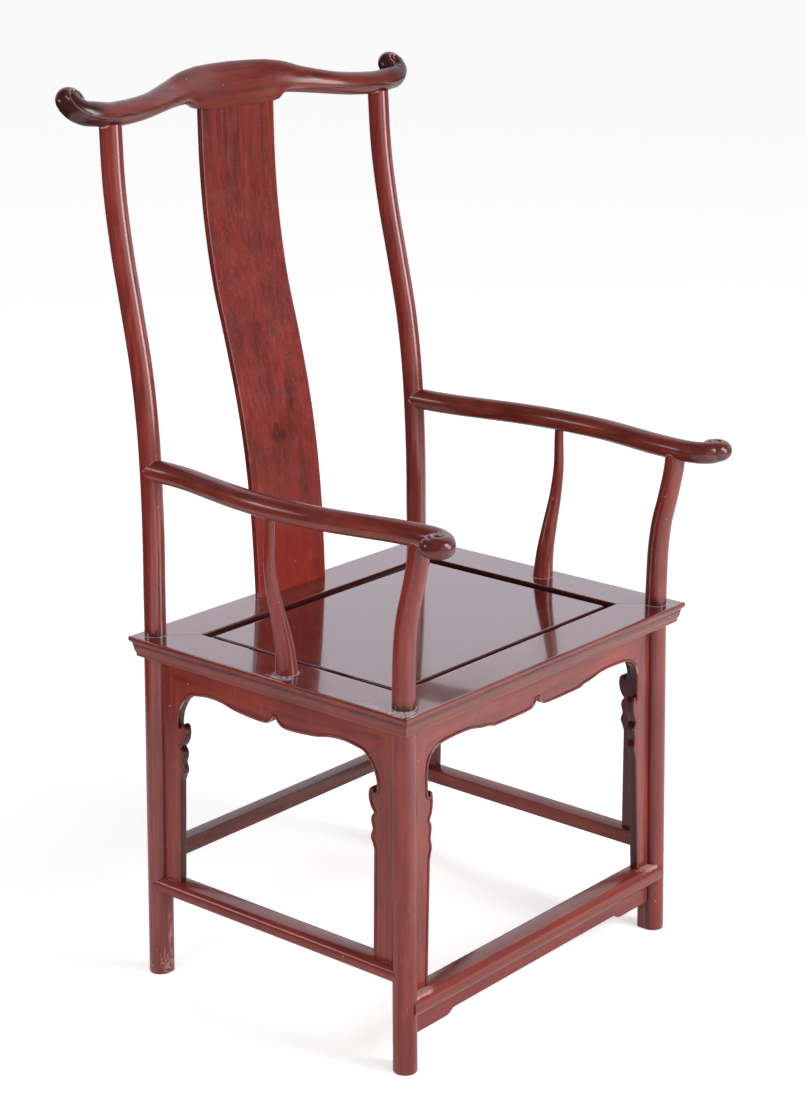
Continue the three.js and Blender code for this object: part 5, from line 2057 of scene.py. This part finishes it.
@dataclass(frozen=True)
class Stretchers:
    """Rails between the legs, the front one a footrest."""

    side_height: float = 21.5
    side_arris_in: float = 9.0
    rear_top: float = 189.0
    rear_height: float = 23.0
    rear_depth: float = 24.0
    rear_round: float = 5.0
    footrest_height: float = 27.0
    footrest_proud: float = 2.6
    footrest_arris_in: float = 8.0
    nose: Shares = ((0, 0), (0.3, 0.02), (0.55, 0.1), (0.86, 0.26), (1, 0.5), (0.86, 0.78), (0.5, 0.95), (0, 1))

    def _nosed(self, inner: float, arris: float, nose: float, top: float, height: float) -> Outline:
        """Section with a flat inner face and a rounded outer one."""
        curve = flat_curve([(lerp(arris, nose, swell), top - drop * height) for swell, drop in self.nose], 3)
        low = top - height
        return [
            (inner, low + 0.8), (inner, top - 0.8), (inner + 0.25, top - 0.25), (inner + 0.8, top),
            (lerp(inner, arris, 0.85), top), *curve, (inner + 0.8, low), (inner + 0.25, low + 0.25),
        ]

    def build(self) -> None:
        """Build and dress the four rails."""
        middle = PLAN.side_stretcher_top - self.side_height / 2
        front = PLAN.leg_centre(PLAN.front_leg, middle)
        rear = PLAN.leg_centre(PLAN.rear_leg, middle)
        nose = front.x + PLAN.leg_radius
        shape = self._nosed(
            front.x - PLAN.leg_radius, nose - self.side_arris_in, nose, PLAN.side_stretcher_top,
            self.side_height,
        )
        ends = [lerp(front.y, rear.y, share / 16) for share in range(17)]
        rings = [[Vector((x, y, z)) for x, z in shape] for y in ends]
        marks = [
            Smear(Vector((front.x + 2.0, y, PLAN.side_stretcher_top)), Vector((14.0, 26.0, 6.0)), 0.45)
            for y in (front.y + 22.0, rear.y - 22.0)
        ]
        deliver_pair(loft("right_stretcher_finish", rings), FRAME_LACQUER, Axis.Y, marks)

        middle = PLAN.footrest_top - self.footrest_height / 2
        leg = PLAN.leg_centre(PLAN.front_leg, middle)
        nose = -leg.y + PLAN.leg_radius + self.footrest_proud
        shape = self._nosed(
            -leg.y - PLAN.leg_radius, nose - self.footrest_arris_in, nose, PLAN.footrest_top,
            self.footrest_height,
        )
        rings = [
            [Vector((lerp(-leg.x, leg.x, share / 20), -out, z)) for out, z in shape] for share in range(21)
        ]
        worn = {4: 0.1, 5: 0.85, 6: 0.9, 7: 0.6, 8: 0.25}
        footrest = loft(
            "footrest_rail_finish", rings,
            marks={"wear": lambda ring, point: worn.get(point, 0.0) * (0.6 + 0.4 * math.sin(1.7 * ring))},
        )
        ends = [
            Smear(
                Vector((side * (leg.x - 20.0), leg.y - 6.0, PLAN.footrest_top)),
                Vector((40.0, 22.0, 6.0)), 0.85,
            )
            for side in (-1, 1)
        ]
        deliver(footrest, FRAME_LACQUER, Axis.X, ends)

        leg = PLAN.leg_centre(PLAN.rear_leg, self.rear_top - self.rear_height / 2)
        half = self.rear_depth / 2
        low = self.rear_top - self.rear_height
        shape = []
        for y, z, soft, turn in (
            (leg.y - half, low, 1.0, 2), (leg.y + half, low, self.rear_round, 3),
            (leg.y + half, self.rear_top, self.rear_round, 0), (leg.y - half, self.rear_top, 1.0, 1),
        ):
            centre_y = y + math.copysign(soft, leg.y - y)
            centre_z = z + math.copysign(soft, low + 0.5 * self.rear_height - z)
            for step in range(5):
                angle = math.pi / 2 * (turn + step / 4)
                shape.append((centre_y + soft * math.cos(angle), centre_z + soft * math.sin(angle)))
        rings = [
            [Vector((lerp(-leg.x, leg.x, share / 12), y, z)) for y, z in shape] for share in range(13)
        ]
        # The rear stretcher takes the darker lacquer as painted shade under the seat
        deliver(loft("rear_stretcher_finish", rings), DARK_LACQUER, Axis.X)


@dataclass(frozen=True)
class Lamp:
    """Soft box that faces the chair: its place and size in metres, its power in watts.

    The lacquer shows no image of a lamp that isn't mirrored.
    """

    name: str
    place: Vector
    size: tuple[float, float]
    power: float
    mirrored: bool = True
    aim: Vector = Vector((0.0, 0.0, 0.75))

    def build(self) -> None:
        """Set the lamp up."""
        data = bpy.data.lights.new(self.name, "AREA")
        data.shape = "RECTANGLE"
        data.size, data.size_y = self.size
        data.energy = self.power
        lamp = bpy.data.objects.new(self.name, data)
        bpy.context.scene.collection.objects.link(lamp)
        lamp.location = self.place
        lamp.rotation_euler = (self.place - self.aim).to_track_quat("Z", "Y").to_euler()
        lamp.visible_camera = False
        lamp.visible_glossy = self.mirrored


@dataclass(frozen=True)
class Studio:
    """Camera, floor, world and soft lamps."""

    azimuth: float = -50.5406
    elevation: float = 16.8585
    roll: float = 0.50198
    position: Vector = Vector((-2.5467, -2.09955, 1.5958))
    lens: float = 81.58
    world_level: float = 0.22
    room_level: float = 0.1
    backdrop_level: float = 1.05
    backdrop_way: Vector = Vector((0.891, 0.454, 0.0))
    floor_colour: str = "F4F3F3"
    dark_colour: str = "30282A"
    paper_right: Vector = Vector((0.6352, -0.7724, 0.0))
    paper_left: float = 1.5
    paper_bright: float = 1.35
    sheen: tuple[float, float, float] = (1.0, 0.95, 1.05)
    glow_near: float = 0.44
    glow_far: float = 0.75
    lamps: tuple[Lamp, ...] = (
        Lamp("key", Vector((0.5, -2.55, 2.3)), (1.1, 1.1), 42.0),
        Lamp("front_strip", Vector((1.15, -2.95, 1.3)), (1.1, 1.4), 34.0),
        Lamp("front_panel", Vector((0.0, -3.05, 1.25)), (4.2, 1.5), 18.0),
        Lamp("front_fill", Vector((-0.5, -3.05, 1.4)), (3.0, 1.8), 22.0, mirrored=False),
        Lamp("left_fill", Vector((-2.9, -0.1, 1.25)), (0.9, 1.5), 38.0, mirrored=False),
        Lamp("left_panel", Vector((-2.2, 1.85, 1.45)), (0.8, 0.5), 10.0),
        Lamp("rear_fill", Vector((0.65, 3.05, 1.8)), (1.6, 1.2), 24.0, mirrored=False),
    )

    def camera(self) -> None:
        """Camera at the photograph's place."""
        azimuth = math.radians(self.azimuth)
        lift = math.radians(self.elevation)
        back = Vector((
            math.sin(azimuth) * math.cos(lift), -math.cos(azimuth) * math.cos(lift), math.sin(lift),
        ))
        data = bpy.data.cameras.new("camera")
        data.lens = self.lens
        data.sensor_width = 36.0
        data.clip_end = 60.0
        camera = bpy.data.objects.new("camera", data)
        bpy.context.scene.collection.objects.link(camera)
        camera.location = self.position
        turn = back.to_track_quat("Z", "Y").to_matrix().to_4x4()
        camera.rotation_euler = turn.to_euler()
        camera.rotation_euler.rotate_axis("Z", math.radians(self.roll))
        bpy.context.scene.camera = camera

    def floor(self) -> None:
        """Pale paper floor that keeps the chair's shadow, and reflects as a sheet of limited width."""
        bpy.ops.object.select_all(action="DESELECT")
        bpy.ops.mesh.primitive_plane_add(size=60.0)
        floor = bpy.context.object
        floor.name = "floor"
        material = bpy.data.materials.new("pale_floor")
        material.use_nodes = True
        tree = material.node_tree
        shader = tree.nodes["Principled BSDF"]
        rays = add_node(tree, "ShaderNodeLightPath")
        place = add_node(tree, "ShaderNodeTexCoord").outputs["Object"]
        side = add_node(
            tree, "ShaderNodeVectorMath", {0: place, 1: self.paper_right}, operation="DOT_PRODUCT",
        )
        beyond = add_node(
            tree, "ShaderNodeMapRange",
            {"Value": side.outputs["Value"], "From Min": -self.paper_left, "From Max": 0.3 - self.paper_left,
             "To Min": 1.0, "To Max": 0.0},
        )
        dark = add_node(
            tree, "ShaderNodeMath", {0: beyond.outputs[0], 1: rays.outputs["Is Glossy Ray"]},
            operation="MULTIPLY",
        )
        colour = add_node(tree, "ShaderNodeMix", data_type="RGBA")
        tree.links.new(dark.outputs[0], colour.inputs[0])
        colour.inputs[6].default_value = linear(self.floor_colour)
        colour.inputs[7].default_value = linear(self.dark_colour)
        tree.links.new(colour.outputs[2], shader.inputs["Base Color"])
        shader.inputs["Roughness"].default_value = 0.9
        shader.inputs["Specular IOR Level"].default_value = 0.0
        far = add_node(tree, "ShaderNodeVectorMath", {0: place}, operation="LENGTH")
        glow = add_node(
            tree, "ShaderNodeMapRange",
            {"Value": far.outputs["Value"], "From Min": 0.6, "From Max": 3.0,
             "To Min": self.glow_near, "To Max": self.glow_far},
        )
        middle = add_node(
            tree, "ShaderNodeMath", {0: side.outputs["Value"], 1: self.paper_bright}, operation="SUBTRACT",
        )
        away = add_node(tree, "ShaderNodeMath", {0: middle.outputs[0]}, operation="ABSOLUTE")
        right = add_node(
            tree, "ShaderNodeMapRange",
            {"Value": away.outputs[0], "From Min": 0.5, "From Max": 1.1, "To Min": 1.0, "To Max": 0.0},
        )
        mirror = add_node(
            tree, "ShaderNodeMath",
            {0: rays.outputs["Is Glossy Ray"], 1: rays.outputs["Is Transmission Ray"]}, operation="MAXIMUM",
        )
        bright = add_node(
            tree, "ShaderNodeMath",
            {0: mirror.outputs[0], 1: right.outputs[0], 2: rays.outputs["Is Camera Ray"]},
            operation="MULTIPLY_ADD",
        )
        seen = add_node(
            tree, "ShaderNodeMath", {0: bright.outputs[0], 1: glow.outputs[0]}, operation="MULTIPLY",
        )
        shader.inputs["Emission Color"].default_value = (1.0, 1.0, 1.0, 1.0)
        tree.links.new(seen.outputs[0], shader.inputs["Emission Strength"])
        floor.data.materials.append(material)
        floor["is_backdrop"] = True

    def world(self) -> None:
        """White for the camera, a white backdrop behind the chair for reflections, plain light otherwise."""
        world = bpy.data.worlds.new("studio")
        bpy.context.scene.world = world
        world.use_nodes = True
        tree = world.node_tree
        rays = add_node(tree, "ShaderNodeLightPath")
        way = add_node(tree, "ShaderNodeTexCoord").outputs["Generated"]
        towards = add_node(
            tree, "ShaderNodeVectorMath", {0: way, 1: self.backdrop_way}, operation="DOT_PRODUCT",
        )
        sector = add_node(
            tree, "ShaderNodeMapRange",
            {"Value": towards.outputs["Value"], "From Min": 0.25, "From Max": 0.65,
             "To Min": self.room_level, "To Max": self.backdrop_level},
            interpolation_type="SMOOTHSTEP",
        )
        mirror = add_node(
            tree, "ShaderNodeMath",
            {0: rays.outputs["Is Glossy Ray"], 1: rays.outputs["Is Transmission Ray"]}, operation="MAXIMUM",
        )
        plain = add_node(
            tree, "ShaderNodeMix", {0: mirror.outputs[0], 2: self.world_level, 3: sector.outputs[0]},
        )
        level = add_node(
            tree, "ShaderNodeMix", {0: rays.outputs["Is Camera Ray"], 2: plain.outputs[0], 3: 1.0},
        )
        background = tree.nodes["Background"]
        tint = add_node(tree, "ShaderNodeMix", data_type="RGBA")
        tree.links.new(mirror.outputs[0], tint.inputs[0])
        tint.inputs[6].default_value = (1.0, 1.0, 1.0, 1.0)
        tint.inputs[7].default_value = (*self.sheen, 1.0)
        tree.links.new(tint.outputs[2], background.inputs["Color"])
        tree.links.new(level.outputs[0], background.inputs["Strength"])

    def build(self) -> None:
        """Set up the view, the floor and the light."""
        bpy.context.scene.view_settings.view_transform = "Standard"
        self.camera()
        self.floor()
        self.world()
        for lamp in self.lamps:
            lamp.build()


def dress_battens() -> None:
    """Bare planed wood on the two bearers under the seat."""
    for name in ("left_seat_batten", "right_seat_batten"):
        BARE_WOOD.dress(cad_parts[name], Axis.Y)


def corners(bounds: tuple[Vector, Vector]) -> list[list[float]]:
    """Bounds as plain lists of numbers."""
    return [list(point) for point in bounds]


def main() -> None:
    """Build the chair and its studio in order."""
    cad_box = corners(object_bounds())
    for part in (SeatFrame(), Posts(), CrestRail(), Splat(), Arms(), Aprons(), Stretchers()):
        log.info("building %s", type(part).__name__)
        part.build()
    dress_battens()
    Studio().build()
    {"cad": cad_box, "visual": corners(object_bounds())}


if __name__ == "__main__":
    main()
